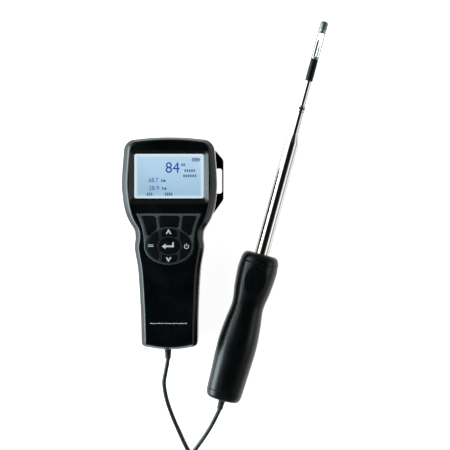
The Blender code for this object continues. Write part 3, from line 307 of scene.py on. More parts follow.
def soften(outline, radius, sharp=28.0, steps=6):
    """Round each real corner of a closed outline, reaching a radius along its two sides."""
    count = len(outline)
    along = [0.0]
    for a, b in zip(outline, outline[1:] + outline[:1]):
        along.append(along[-1] + hypot(b[0] - a[0], b[1] - a[1]))
    total = along[-1]

    def at(distance):
        distance %= total
        i = max(k for k in range(count) if along[k] <= distance + 1e-12)
        a, b = outline[i], outline[(i + 1) % count]
        t = (distance - along[i]) / max(along[i + 1] - along[i], 1e-12)
        return (a[0] + (b[0] - a[0]) * t, a[1] + (b[1] - a[1]) * t)

    corners = []
    for i in range(count):
        a, b, c = outline[i - 1], outline[i], outline[(i + 1) % count]
        u, v = (b[0] - a[0], b[1] - a[1]), (c[0] - b[0], c[1] - b[1])
        bend = (u[0] * v[0] + u[1] * v[1]) / (hypot(*u) * hypot(*v))
        if degrees(acos(max(-1.0, min(1.0, bend)))) > sharp:
            corners.append(i)
    made = []
    for i in range(count):
        if i in corners:
            made += bezier(at(along[i] - radius), outline[i], at(along[i] + radius), steps)
            continue
        away = [abs((along[i] - along[k] + total / 2) % total - total / 2) for k in corners]
        if not away or min(away) > radius * 1.05:
            made.append(outline[i])
    return made


# ---------------------------------------------------------------- meshes and pieces


def join_rings(bm, low, high):
    """Faces between two rings of equal length."""
    for i in range(len(low)):
        j = (i + 1) % len(low)
        bm.faces.new((low[i], low[j], high[j], high[i]))


def add_loops(bm, loops):
    """Skin closed loops of equal length into a wall and return their vertices."""
    rows = [[bm.verts.new(point) for point in loop] for loop in loops]
    for low, high in zip(rows, rows[1:]):
        join_rings(bm, low, high)
    return rows


def cap_ends(bm, rows):
    bm.faces.new(rows[0])
    bm.faces.new(rows[-1])


def strip_cap(bm, ring):
    """Fill a ring that mirrors about its first vertex with strips from side to side."""
    count = len(ring)
    half = count // 2
    bm.faces.new((ring[0], ring[1], ring[-1]))
    for i in range(1, half - 1):
        bm.faces.new((ring[i], ring[i + 1], ring[count - i - 1], ring[count - i]))
    bm.faces.new((ring[half - 1], ring[half], ring[half + 1]))


def add_object(name, bm):
    bmesh.ops.recalc_face_normals(bm, faces=bm.faces)
    mesh = bpy.data.meshes.new(name)
    bm.to_mesh(mesh)
    bm.free()
    obj = bpy.data.objects.new(name, mesh)
    bpy.context.scene.collection.objects.link(obj)
    return obj


def skinned(name, loops, mirrored=False, closed=False):
    """A closed body from loops; closed loops of loops join the last to the first."""
    bm = bmesh.new()
    rows = add_loops(bm, loops)
    if closed:
        join_rings(bm, rows[-1], rows[0])
    elif mirrored:
        strip_cap(bm, rows[0])
        strip_cap(bm, rows[-1])
    else:
        cap_ends(bm, rows)
    return add_object(name, bm)


def stacked(name, steps):
    """A body through level outlines, each with its height."""
    return skinned(name, [at_height(outline, z) for outline, z in steps])


def plate(name, outlines, low, high):
    """Upright flat-ended bodies between two heights, as one piece."""
    bm = bmesh.new()
    for outline in outlines:
        cap_ends(bm, add_loops(bm, [at_height(outline, low), at_height(outline, high)]))
    return add_object(name, bm)


def rectangle(x0, y0, x1, y1):
    return [(x0, y0), (x1, y0), (x1, y1), (x0, y1)]


def box(name, low, high):
    outline = rectangle(low[0], low[1], high[0], high[1])
    return stacked(name, [(outline, low[2]), (outline, high[2])])


def in_metres(profile, start=0.0):
    """A turned profile in millimetres, moved along its axis to a start, in metres."""
    return [(radius * MM, (start + along) * MM) for radius, along in profile]


def axis_point(axis, origin, across, up, along):
    offsets = {"Y": (across, along, up), "Z": (across, up, along)}
    return Vector(origin) + Vector(offsets[axis])


def turned(name, profile, origin=(0, 0, 0), axis="Y", segments=64):
    """Spin (radius, distance) points about an axis; a profile that meets the axis is a solid."""
    bm = bmesh.new()
    solid = profile[0][0] == 0
    rows = []
    for radius, along in profile:
        if radius == 0:
            rows.append([bm.verts.new(axis_point(axis, origin, 0, 0, along))])
            continue
        angles = [2 * pi * i / segments for i in range(segments)]
        row = [axis_point(axis, origin, radius * cos(a), radius * sin(a), along) for a in angles]
        rows.append([bm.verts.new(point) for point in row])
    pairs = list(zip(rows, rows[1:]))
    if not solid:
        pairs.append((rows[-1], rows[0]))
    for low, high in pairs:
        for i in range(segments):
            j = (i + 1) % segments
            if len(low) == 1:
                bm.faces.new((low[0], high[i], high[j]))
            elif len(high) == 1:
                bm.faces.new((low[i], low[j], high[0]))
            else:
                bm.faces.new((low[i], low[j], high[j], high[i]))
    return add_object(name, bm)


def screw_rods(name, diameter, start, end):
    """Upright rods at the four screws, as one cutter."""
    rings = [ellipse((x * MM, y * MM), diameter / 2, diameter / 2, 40) for x, y in SCREW_PLACES]
    return plate(name, rings, start, end)


def carve(obj, *cutters):
    """Cut the cutters out of a body for good, and remove them."""
    for cutter in cutters:
        modifier = obj.modifiers.new("cut", "BOOLEAN")
        modifier.operation = "DIFFERENCE"
        modifier.solver = "EXACT"
        modifier.object = cutter
    bpy.context.view_layer.update()
    graph = bpy.context.evaluated_depsgraph_get()
    mesh = bpy.data.meshes.new_from_object(obj.evaluated_get(graph))
    obj.modifiers.clear()
    obj.data = mesh
    for cutter in cutters:
        bpy.data.objects.remove(cutter, do_unlink=True)
    return obj


def dress(obj, look, body, replaced=(), sharp=38.0, in_probe=False):
    """Shade a finished body, give it its material and let it ride on its CAD body."""
    if in_probe:
        obj.data.transform(PROBE_PLACE)
    obj.data.shade_smooth()
    obj.data.set_sharp_from_angle(angle=radians(sharp))
    even = obj.modifiers.new("even_shading", "WEIGHTED_NORMAL")
    even.keep_sharp = True
    obj.data.materials.clear()
    obj.data.materials.append(look)
    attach(obj, body)
    if replaced:
        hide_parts(*replaced)
    return obj


# ---------------------------------------------------------------- materials

# Name, colour, worn colour and roughness, then the grain's scale and depth in mm, the scale of the
# slow changes and how far they move the roughness, where these differ from the usual.
LOOKS = {
    "case": ("case_plastic", (0.0008, 0.0014, 0.0015), (0.0016, 0.0023, 0.0025), 0.24),
    "case_back": ("case_back_plastic", (0.004, 0.0048, 0.0052), (0.0068, 0.0076, 0.008), 0.48, 1500.0, 0.045),
    "key": ("key_rubber", (0.0008, 0.0012, 0.0013), (0.0015, 0.0019, 0.0021), 0.38, 2600.0, 0.018),
    "rib": ("keypad_rib_plastic", (0.060, 0.076, 0.079), (0.078, 0.095, 0.099), 0.42, 2000.0),
    "handle": (
        "handle_rubber", (0.0012, 0.0021, 0.0022), (0.0022, 0.0034, 0.0036), 0.30, 1300.0, 0.06, 60.0, 0.04
    ),
    "cord": ("cord_jacket", (0.0050, 0.0055, 0.0060), (0.010, 0.011, 0.012), 0.46, 1800.0, 0.03, 80.0),
    "rubber": ("gland_rubber", (0.0070, 0.0072, 0.0076), (0.012, 0.012, 0.013), 0.60, 1500.0, 0.05),
    "chrome": ("tube_chrome", (0.70, 0.70, 0.665), (0.62, 0.62, 0.585), 0.12, 2600.0, 0.0022, 70.0, 0.03),
    "steel": ("fitting_steel", (0.52, 0.53, 0.54), (0.40, 0.41, 0.42), 0.26, 2400.0, 0.006, 90.0),
    "cage": ("cage_steel", (0.44, 0.47, 0.47), (0.34, 0.37, 0.37), 0.34, 2400.0, 0.006, 90.0),
    "tip": ("tip_steel", (0.28, 0.28, 0.27), (0.20, 0.20, 0.19), 0.42, 900.0, 0.02, 400.0),
    "crimp": ("crimp_shadow", (0.010, 0.010, 0.011), (0.018, 0.018, 0.019), 0.60, 2400.0, 0.01),
    "nickel": ("contact_nickel", (0.60, 0.58, 0.52), (0.46, 0.44, 0.38), 0.30, 2000.0, 0.008, 120.0, 0.08),
    "board": ("board_mask", (0.012, 0.090, 0.036), (0.018, 0.130, 0.055), 0.40, 900.0, 0.03, 160.0),
    "wrap": ("cell_wrap_film", (0.030, 0.050, 0.140), (0.046, 0.072, 0.180), 0.30, 1200.0, 0.01, 60.0),
    "sensor": ("sensor_coating", (0.020, 0.020, 0.022), (0.040, 0.040, 0.043), 0.36, 3000.0),
    "back": ("backlight_diffuser", (0.80, 0.85, 0.88), (0.86, 0.90, 0.92), 0.50, 1500.0),
    "mark": ("key_ink", (0.72, 0.75, 0.76), (0.60, 0.63, 0.64), 0.45, 2600.0, 0.01, 300.0),
    "ink": ("display_ink", (0.020, 0.050, 0.340), (0.028, 0.066, 0.400), 0.50, 3000.0, 0.005, 500.0),
    "pale_ink": ("display_pale_ink", (0.12, 0.21, 0.46), (0.16, 0.26, 0.52), 0.50, 3000.0, 0.005, 500.0),
    "paper": ("floor_paper", (0.86, 0.865, 0.87), (0.88, 0.885, 0.89), 0.90, 700.0, 0.05, 3.0, 0.02),
}
SETTINGS = {
    "case": {"Specular_IOR_Level": 0.42},
    "key": {"Specular_IOR_Level": 0.26},
    "handle": {"Specular_IOR_Level": 0.34},
    "chrome": {"metallic": 1.0, "stretch": (1.0, 0.05, 1.0), "turn": PROBE_TURN},
    "steel": {"metallic": 1.0, "stretch": (1.0, 1.0, 0.2)},
    "cage": {"metallic": 1.0},
    "tip": {"metallic": 1.0},
    "nickel": {"metallic": 1.0},
    "ink": {"Emission_Color": (0.010, 0.040, 0.32, 1.0), "Emission_Strength": 0.7},
    "paper": {"Emission_Color": (1.0, 1.0, 1.0, 1.0), "Emission_Strength": 0.92},
}


def principled(name, colour, roughness, metallic=0.0, **sockets):
    made = bpy.data.materials.new(name)
    made.use_nodes = True
    inputs = shader_of(made).inputs
    inputs["Base Color"].default_value = (*colour, 1.0)
    inputs["Roughness"].default_value = roughness
    inputs["Metallic"].default_value = metallic
    for socket, value in sockets.items():
        inputs[socket.replace("_", " ")].default_value = value
    return made


def shader_of(look):
    return look.node_tree.nodes["Principled BSDF"]


def feed(tree, socket, value):
    """Link another node's output to a socket, or set the socket to a plain value."""
    if isinstance(value, bpy.types.NodeSocket):
        tree.links.new(value, socket)
    else:
        socket.default_value = value


def node(tree, kind, **values):
    """A node; each value feeds the input of its name, or else is one of the node's settings."""
    made = tree.nodes.new(kind)
    for name, value in values.items():
        if name in made.inputs:
            feed(tree, made.inputs[name], value)
        else:
            setattr(made, name, value)
    return made


def figured(tree, operation, first, second=0.0):
    made = node(tree, "ShaderNodeMath", operation=operation)
    feed(tree, made.inputs[0], first)
    feed(tree, made.inputs[1], second)
    return made.outputs["Value"]


def parts_of(tree, vector):
    return node(tree, "ShaderNodeSeparateXYZ", Vector=vector).outputs


def place_in(tree, stretch=(1, 1, 1), turn=0.0, shift=(0, 0, 0)):
    """Coordinates in metres on the piece, stretched along an axis where the grain runs."""
    where = node(tree, "ShaderNodeTexCoord").outputs["Object"]
    turned_by = (0, 0, radians(turn))
    mapping = node(tree, "ShaderNodeMapping", Vector=where, Scale=stretch, Rotation=turned_by, Location=shift)
    return mapping.outputs["Vector"]


def noise(tree, place, scale, detail=3.0, roughness=0.55):
    made = node(tree, "ShaderNodeTexNoise", Vector=place, Scale=scale, Detail=detail, Roughness=roughness)
    return made.outputs["Fac"]


def spread(tree, value, low, high, start=0.35, end=0.65):
    limits = {"From Min": start, "From Max": end, "To Min": low, "To Max": high}
    return node(tree, "ShaderNodeMapRange", Value=value, **limits).outputs["Result"]


def mixed(tree, amount, first, second):
    made = node(tree, "ShaderNodeMix", data_type="RGBA")
    feed(tree, made.inputs["Factor"], amount)
    for name, colour in (("A", first), ("B", second)):
        socket = [s for s in made.inputs if s.name == name and s.type == "RGBA"][0]
        feed(tree, socket, (*colour, 1.0) if isinstance(colour, tuple) else colour)
    return [s for s in made.outputs if s.type == "RGBA"][0]


def bump(tree, height, distance):
    return node(tree, "ShaderNodeBump", Height=height, Strength=1.0, Distance=distance).outputs["Normal"]


def grained(
    name,
    colour,
    worn,
    roughness,
    grain=2200.0,
    depth=0.02,
    mottle=45.0,
    swing=0.06,
    stretch=(1, 1, 1),
    turn=0.0,
    metallic=0.0,
    **sockets,
):
    """A surface with a fine grain, slow changes of colour and sheen, and faint handling marks."""
    made = principled(name, colour, roughness, metallic, **sockets)
    tree = made.node_tree
    inputs = shader_of(made).inputs
    place = place_in(tree, stretch, turn)
    fine = noise(tree, place, grain, 2.0)
    slow = noise(tree, place, mottle, 5.0, 0.62)
    scuffs = noise(tree, place_in(tree, (1.0, 0.12, 1.0), 35.0), 900.0, 2.0, 0.5)
    shade = spread(tree, slow, 0.0, 1.0, 0.38, 0.66)
    feed(tree, inputs["Base Color"], mixed(tree, shade, colour, worn))
    sheen = spread(tree, slow, roughness - swing, roughness + swing)
    rubbed = spread(tree, scuffs, 0.0, swing * 0.8, 0.60, 0.72)
    feed(tree, inputs["Roughness"], figured(tree, "ADD", sheen, rubbed))
    feed(tree, inputs["Normal"], bump(tree, fine, depth * MM))
    return made


def tone(look, amount, colour):
    """Fade a look's own colour towards another where the amount falls to nothing."""
    socket = shader_of(look).inputs["Base Color"]
    own = socket.links[0].from_socket
    feed(look.node_tree, socket, mixed(look.node_tree, amount, colour, own))


def paint_ring_rib_shade(look):
    """The ribs between the keys of the ring are painted darker than the outer frame, as painted shade between
    the raised keys.
    """
    tree = look.node_tree
    reach = (1 / (RING_HALF_WIDTH + 1.0 * MM), 1 / (RING_HALF_HEIGHT + 1.0 * MM), 0.0)
    place = place_in(tree, reach, shift=(0.0, -KEYPAD_CENTRE_Y * reach[1], 0.0))
    away = node(tree, "ShaderNodeVectorMath", operation="LENGTH", Vector=place).outputs["Value"]
    # Painted shade: the frame's colour turns darker inside the ring of keys.
    tone(look, spread(tree, away, 0.0, 1.0, 0.98, 1.06), (0.016, 0.021, 0.023))


def paint_flank_shade(look, colour, start, end):
    """Paint shade onto the sides of a metal piece, darker where the surface turns away from straight up."""
    tree = look.node_tree
    facing = node(tree, "ShaderNodeNewGeometry").outputs["Normal"]
    upward = figured(tree, "ABSOLUTE", parts_of(tree, facing)["Z"])
    tone(look, spread(tree, upward, 0.0, 1.0, start, end), colour)


def lcd_look():
    """A backlit panel: fine pixels, with a painted highlight that makes it paler towards its rim."""
    made = principled("lcd_panel", (0.10, 0.13, 0.16), 0.35)
    tree = made.node_tree
    inputs = shader_of(made).inputs
    place = place_in(tree)
    across = parts_of(tree, place)
    # Painted highlight: the glow turns paler within a few millimetres of the panel's edges.
    painted_rim_highlights = []
    for axis, centre, half in (("X", 0.0, VIEW_WIDTH / 2), ("Y", VIEW_CENTRE_Y, VIEW_HEIGHT / 2)):
        size = figured(tree, "ABSOLUTE", figured(tree, "SUBTRACT", across[axis], centre))
        painted_rim_highlights.append(spread(tree, size, 0.0, 1.0, half - 3.2 * MM, half - 0.6 * MM))
    rim = figured(tree, "MAXIMUM", *painted_rim_highlights)
    slow = spread(tree, noise(tree, place, 22.0, 2.0), 0.55, 1.25)
    tilt = spread(tree, across["Y"], 0.0, 1.0, VIEW_CENTRE_Y - VIEW_HEIGHT / 2, VIEW_TOP_Y)
    blend = figured(tree, "MULTIPLY", tilt, slow)
    body = mixed(tree, blend, (0.36, 0.55, 0.70), (0.51, 0.69, 0.86))
    # Painted highlight: the pale colour of the rim.
    lit = mixed(tree, rim, body, (0.80, 0.88, 0.94))
    pixels = node(tree, "ShaderNodeTexChecker", Vector=place, Scale=2900.0).outputs["Fac"]
    dots = spread(tree, pixels, 0.97, 1.0, 0.0, 1.0)
    shaded = node(tree, "ShaderNodeVectorMath", operation="SCALE", Vector=lit, Scale=dots)
    feed(tree, inputs["Emission Color"], shaded.outputs["Vector"])
    inputs["Emission Strength"].default_value = 1.0
    feed(tree, inputs["Normal"], bump(tree, pixels, 0.002 * MM))
    return made


def lens_look():
    """A clear window that keeps a faint gloss."""
    made = principled("lens_window", (0.92, 0.96, 0.98), 0.04, Transmission_Weight=1.0, IOR=1.45)
    tree = made.node_tree
    slow = noise(tree, place_in(tree), 120.0, 2.0)
    feed(tree, shader_of(made).inputs["Roughness"], spread(tree, slow, 0.015, 0.06))
    feed(tree, shader_of(made).inputs["Normal"], bump(tree, slow, 0.004 * MM))
    return made


def make_looks():
    looks = {key: grained(*texture, **SETTINGS.get(key, {})) for key, texture in LOOKS.items()}
    paint_ring_rib_shade(looks["rib"])
    # Painted shade: the chrome tubes and the cage are coloured darker on their sides, as if in shade.
    paint_flank_shade(looks["chrome"], (0.085, 0.090, 0.085), 0.12, 0.46)
    paint_flank_shade(looks["cage"], (0.06, 0.07, 0.07), 0.20, 0.75)
    looks["lcd"] = lcd_look()
    looks["lens"] = lens_look()
    return looks


# ---------------------------------------------------------------- cord

METER_ROUTE = [
    (-2.0, -87.6, 18.0),
    (-2.0, -98.8, 18.0),
    (-4.0, -110.4, 17.2),
    (-5.6, -121.0, 14.4),
    (-3.6, -135.2, 9.6),
    (0.6, -149.2, 5.2),
    (6.2, -163.2, 2.4),
    (14.2, -180.2, 2.1),
    (24.4, -194.6, 2.0),
    (32.0, -204.8, 2.0),
    (37.0, -213.2, 2.0),
]
PROBE_ROUTE = [
    (36.6, -154.7, 15.4),
    (31.0, -164.7, 12.4),
    (24.4, -174.8, 8.8),
    (17.2, -184.6, 6.4),
    (9.0, -193.0, 4.6),
    (-0.6, -201.8, 3.0),
    (-9.0, -213.2, 2.0),
]
COIL_SLOTS = ((1, -1), (0, -1), (-1, -1), (-1, 0), (-1, 1), (0, 1), (0, 0), (1, 0), (1, 1))
COIL_TURN = 8 * 360.0 + 260.0
COIL_CHANGE = 40.0


def coil_route():
    """Turns three wide and three high, clockwise, in at the right and out at the left."""
    radii = [(0.0, 30.15)]
    levels = [(0.0, 2.0)]
    spacing = (COIL_TURN - 330.0) / (len(COIL_SLOTS) - 1)
    for number, (out, up) in enumerate(COIL_SLOTS):
        begin = number * spacing + (45.0 if number == 0 else COIL_CHANGE / 2)
        end = (number + 1) * spacing - COIL_CHANGE / 2
        if number == len(COIL_SLOTS) - 1:
            end = COIL_TURN - 105.0
        for at in (begin, end):
            radii.append((at, COIL_RADIUS + out * COIL_PITCH))
            levels.append((at, COIL_MIDDLE_Z + up * COIL_PITCH))
    radii += [(COIL_TURN - 70.0, 29.6), (COIL_TURN - 40.0, 30.5), (COIL_TURN, 30.15)]
    levels += [(COIL_TURN - 70.0, 10.0), (COIL_TURN - 40.0, 6.0), (COIL_TURN, 2.0)]
    points = []
    steps = int(COIL_TURN / 6)
    for i in range(1, steps):
        turn = COIL_TURN * i / steps
        radius = smooth_reading(radii, turn)
        angle = radians(40.3 - turn)
        x = COIL_CENTRE[0] + radius * cos(angle)
        y = COIL_CENTRE[1] + radius * sin(angle)
        points.append(Vector((x, y, smooth_reading(levels, turn))) * MM)
    return points


def tube_along(name, points, radius, segments=16):
    """A closed tube whose rings turn as little as they can along the path."""
    bm = bmesh.new()
    rings = []
    side = None
    last = len(points) - 1
    for i, point in enumerate(points):
        ahead = (points[min(i + 1, last)] - points[max(i - 1, 0)]).normalized()
        if side is None:
            side = ahead.orthogonal().normalized()
        side = (side - ahead * side.dot(ahead)).normalized()
        other = ahead.cross(side)
        ring = []
        for k in range(segments):
            angle = 2 * pi * k / segments
            ring.append(bm.verts.new(point + (side * cos(angle) + other * sin(angle)) * radius))
        rings.append(ring)
    for low, high in zip(rings, rings[1:]):
        join_rings(bm, low, high)
    cap_ends(bm, rings)
    return add_object(name, bm)


def make_cord(looks):
    to_probe = [Vector(p) * MM for p in reversed(PROBE_ROUTE)]
    mouth = PROBE_PLACE @ Vector((0, -GLAND_LENGTH, 0))
    seat = PROBE_PLACE @ Vector((0, WALL, 0))
    route = [Vector(p) * MM for p in METER_ROUTE] + coil_route() + to_probe + [mouth, seat]
    path = curve_through(route, CORD_STEP)
    lead = tube_along("cord_lead", path, CORD_DIAMETER / 2)
    lead.data.shade_smooth()
    lead.data.materials.append(looks["cord"])
    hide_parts("cord_meter_lead", "cord_probe_lead", "cord_coil")
    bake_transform(lead)


# ---------------------------------------------------------------- meter case


def case_half_width(y):
    """Half of the case's width: the wide head, the waist, the keypad's bulge and the grip."""
    stations = [
        (BOTTOM_CORNER - TOP_Y, GRIP_END_WIDTH / 2),
        (GRIP_Y, GRIP_WIDTH / 2),
        (KEYPAD_BULGE_Y - 18.5 * MM, (GRIP_WIDTH * 0.6 + KEYPAD_BULGE_WIDTH * 0.4) / 2),
        (KEYPAD_BULGE_Y, KEYPAD_BULGE_WIDTH / 2),
        (WAIST_Y, WAIST_WIDTH / 2),
        ((WAIST_Y + SHOULDER_Y) / 2, (WAIST_WIDTH * 0.82 + SHOULDER_WIDTH * 0.18) / 2),
        (SHOULDER_Y, SHOULDER_WIDTH / 2),
        (SHOULDER_Y + 6.6 * MM, (SHOULDER_WIDTH * 0.55 + HEAD_WIDTH * 0.45) / 2),
        ((SHOULDER_Y + HEAD_Y) / 2, (SHOULDER_WIDTH * 0.2 + HEAD_WIDTH * 0.8) / 2),
        (HEAD_Y, HEAD_WIDTH / 2),
        (TOP_Y - TOP_CORNER, HEAD_TOP_WIDTH / 2),
    ]
    return smooth_reading(stations, y)


def chamfer_width(y):
    stations = [(KEYPAD_BULGE_Y, GRIP_CHAMFER), (SHOULDER_Y + TOP_CORNER, HEAD_CHAMFER)]
    return smooth_reading(stations, y)


def face_z(y):
    """The face is level to below the keypad, then falls to the grip's end."""
    if y >= FACE_SLOPE_Y:
        return CASE_DEPTH
    fall = (FACE_SLOPE_Y - y) / (FACE_SLOPE_Y + TOP_Y)
    return CASE_DEPTH - FACE_DROP * fall * min(1.0, 0.5 + fall)


def case_outline(side_inset, end_inset, fine=True):
    """The case seen from above, from the bottom's middle round by +X."""
    stations, corner_steps, bow_steps = (90, 12, 8) if fine else (15, 4, 2)
    bottom = end_inset - TOP_Y
    top = TOP_Y - end_inset
    low_corner = max(BOTTOM_CORNER - end_inset, BOTTOM_BOW + 0.6 * MM)
    high_corner = max(TOP_CORNER - end_inset, 1.5 * MM)
    low_side = bottom + low_corner
    high_side = top - high_corner - TOP_BOW
    low_x = case_half_width(low_side) - side_inset(low_side)
    high_x = case_half_width(high_side) - side_inset(high_side)
    right = []
    for i in range(bow_steps):
        share = i / bow_steps
        right.append((share * (low_x - low_corner), bottom + BOTTOM_BOW * share**2))
    for i in range(corner_steps):
        angle = pi / 2 * i / corner_steps
        x = low_x - low_corner + low_corner * sin(angle)
        right.append((x, low_side - (low_corner - BOTTOM_BOW) * cos(angle)))
    for i in range(stations):
        y = low_side + (high_side - low_side) * i / (stations - 1)
        right.append((case_half_width(y) - side_inset(y), y))
    for i in range(1, corner_steps + 1):
        angle = pi / 2 * i / corner_steps
        x = high_x - high_corner + high_corner * cos(angle)
        right.append((x, high_side + high_corner * sin(angle)))
    for i in range(bow_steps - 1, -1, -1):
        share = i / bow_steps
        right.append((share * (high_x - high_corner), top - TOP_BOW * share**2))
    return mirrored_outline(right)


def case_loop(side_inset, end_inset, height, fine=True):
    inset = side_inset if callable(side_inset) else (lambda y: side_inset)
    level = height if callable(height) else (lambda y: height)
    return [Vector((x, y, level(y))) for x, y in case_outline(inset, end_inset, fine)]


def edge_loop(share, extra, drop):
    """A loop partway up the chamfer: share of its width, an extra inset and a drop from the face."""
    return case_loop(
        lambda y: share * chamfer_width(y) + extra,
        share * END_CHAMFER + extra,
        lambda y: face_z(y) + drop,
    )


def keypad_outline(outset):
    """A straight top, sides that sweep in, and the lower half of an ellipse, about the middle."""
    right = []
    for i in range(36):
        angle = pi / 2 * i / 36
        x = KEYPAD_HALF_WIDTH * sin(angle)
        right.append((x, KEYPAD_CENTRE_Y - KEYPAD_HALF_HEIGHT * cos(angle)))
    for i in range(25):
        share = i / 24
        y = KEYPAD_CENTRE_Y + (KEYPAD_TOP_Y - KEYPAD_CENTRE_Y) * share
        right.append((KEYPAD_HALF_WIDTH + (KEYPAD_TOP_HALF - KEYPAD_HALF_WIDTH) * share**2.2, y))
    right.append((0.0, KEYPAD_TOP_Y))
    return shrunk(soften(mirrored_outline(right), 1.2 * MM), -outset)


def make_case_front(looks):
    loops = [case_loop(SEAM_INSET, SEAM_INSET, PARTING_Z + GAP / 2)]
    loops.append(case_loop(0.0, 0.0, PARTING_Z + SEAM_RISE))
    foot = bezier((0.0, 0.0, -1.35), (0.0, 0.0, -1.0), (0.24, 0.0, -0.76), 6)
    shoulder = bezier((0.76, 0.0, -0.24), (1.0, 0.0, 0.0), (1.0, 1.5 * MM, 0.0), 7)
    loops += [edge_loop(share, extra, drop * CHAMFER_DEPTH) for share, extra, drop in foot + shoulder]
    shell = skinned("case_front", loops, mirrored=True)
    inner_chamfer = lambda y: chamfer_width(y) + 0.8 * MM
    room = skinned(
        "front_room",
        [
            case_loop(WALL, WALL, PARTING_Z - WALL, False),
            case_loop(WALL, WALL, lambda y: face_z(y) - CHAMFER_DEPTH - 1.0 * MM, False),
            case_loop(inner_chamfer, END_CHAMFER + WALL, lambda y: face_z(y) - FACE_WALL, False),
        ],
        mirrored=True,
    )
    carve(room, screw_rods("posts", POST_DIAMETER, PARTING_Z - 2 * WALL, CASE_DEPTH + WALL))
    bores = screw_rods("bores", SCREW_SHANK + 2 * GAP, 0, SCREW_TIP_Z + 3.0 * MM)
    size = (VIEW_WIDTH + 2 * WINDOW_SIDE_BEVEL, VIEW_HEIGHT + WINDOW_TOP_BEVEL + WINDOW_BOTTOM_BEVEL)
    middle = (0, VIEW_CENTRE_Y + (WINDOW_TOP_BEVEL - WINDOW_BOTTOM_BEVEL) / 2)
    opening = rounded_rectangle((0, VIEW_CENTRE_Y), VIEW_WIDTH, VIEW_HEIGHT, 1.5 * MM)
    outer = rounded_rectangle(middle, *size, 3.0 * MM)
    flare = rounded_rectangle(middle, size[0] + 0.9 * MM, size[1] + 0.9 * MM, 3.4 * MM)
    window_steps = [
        (opening, CASE_DEPTH - FACE_WALL - 1.0 * MM),
        (opening, CASE_DEPTH - FACE_WALL + 0.4 * MM),
        (outer, CASE_DEPTH - 0.22 * MM),
        (flare, CASE_DEPTH + 0.06 * MM),
    ]
    flares = [(0.0, -6.0), (0.0, -0.45), (0.12, -0.15), (0.5, 0.08)]
    keypad_steps = [(keypad_outline(GAP + out * MM), CASE_DEPTH + z * MM) for out, z in flares]
    carve(shell, room, bores, stacked("window", window_steps), stacked("keypad_hole", keypad_steps))
    dress(shell, looks["case"], "meter", ["front_shell"])


def make_case_rear(looks):
    loops = []
    for inset, height in bezier((6.0, 0.0), (0.9, 0.0), (0.0, 9.6), 10):
        loops.append(case_loop(inset * MM, inset * MM, height * MM))
    loops.append(case_loop(0.0, 0.0, PARTING_Z - SEAM_RISE))
    loops.append(case_loop(SEAM_INSET, SEAM_INSET, PARTING_Z - GAP / 2))
    shell = skinned("case_rear", loops, mirrored=True)
    room = skinned(
        "rear_room",
        [
            case_loop(BACK_FILLET + 0.6 * MM, BACK_FILLET + 0.6 * MM, WALL, False),
            case_loop(WALL, WALL, BACK_FILLET * 1.6 + 0.6 * MM, False),
            case_loop(WALL, WALL, PARTING_Z + WALL, False),
        ],
        mirrored=True,
    )
    wide = CASE_LENGTH
    walls = []
    for edge in (BAY_TOP_Y, BAY_BOTTOM_Y - RIB_WALL):
        walls.append(box("wall", (-wide, edge, -WALL), (wide, edge + RIB_WALL, PARTING_Z + 2 * WALL)))
    posts = screw_rods("posts", POST_DIAMETER, -WALL, PARTING_Z + 2 * WALL)
    carve(room, posts, *walls)
    end = -TOP_Y
    port = rounded_rectangle((-15.0 * MM, 14.0 * MM), 9.6 * MM, 5.6 * MM, 1.5 * MM)
    cutters = [
        room,
        screw_rods("bores", SCREW_SHANK + 2 * GAP, -WALL, PARTING_Z + WALL),
        screw_rods("counterbores", SCREW_HEAD + 2 * GAP, -WALL, SCREW_DEPTH),
        plate("bay", [cover_outline(GAP)], -WALL, WALL + 1.0 * MM),
        skinned("port", [[Vector((x, y, z)) for x, z in port] for y in (end - WALL, end + 3 * WALL)]),
    ]
    for diameter, x, z in ((GLAND_DIAMETER, -2.0, 18.0), (8.0 * MM, 14.0, 14.0)):
        radius = diameter / 2 + GAP
        profile = [(0, end - WALL), (radius, end - WALL), (radius, end + 3 * WALL), (0, end + 3 * WALL)]
        cutters.append(turned("bore", profile, (x * MM, 0, z * MM), "Y", 48))
    carve(shell, *cutters)
    dress(shell, looks["case_back"], "meter", ["rear_shell"])


def cover_outline(outset):
    centre = (0, (BAY_TOP_Y + BAY_BOTTOM_Y) / 2)
    length = BAY_TOP_Y - BAY_BOTTOM_Y
    return rounded_rectangle(centre, COVER_WIDTH + 2 * outset, length + 2 * outset, 3.0 * MM + outset)


def make_battery_cover(looks):
    rise = [(0.5, 0.15), (0.2, 0.25), (0.0, 0.55), (0.0, COVER_THICKNESS / MM)]
    cover = stacked("battery_door", [(cover_outline(-inset * MM), z * MM) for inset, z in rise])
    middle = (BAY_TOP_Y + BAY_BOTTOM_Y) / 2
    grooves = []
    for i in range(7):
        y = middle - 22.0 * MM + i * 2.0 * MM
        outline = rounded_rectangle((0, y), 16.0 * MM - abs(i - 3) * 1.6 * MM, 1.0 * MM, 0.45 * MM)
        flare = rounded_rectangle((0, y), 16.4 * MM - abs(i - 3) * 1.6 * MM, 1.4 * MM, 0.6 * MM)
        grooves.append(stacked("groove", [(flare, -0.1 * MM), (outline, 0.4 * MM), (outline, 0.85 * MM)]))
    arrow = [(0, 0), (3.2, 3.4), (1.2, 3.4), (1.2, 7.0), (-1.2, 7.0), (-1.2, 3.4), (-3.2, 3.4)]
    points = [(x * MM, middle - 6.0 * MM + y * MM) for x, y in arrow]
    grooves.append(plate("arrow", [points], -0.1 * MM, 0.5 * MM))
    carve(cover, *grooves)
    dress(cover, looks["case_back"], "cover", ["battery_cover"])


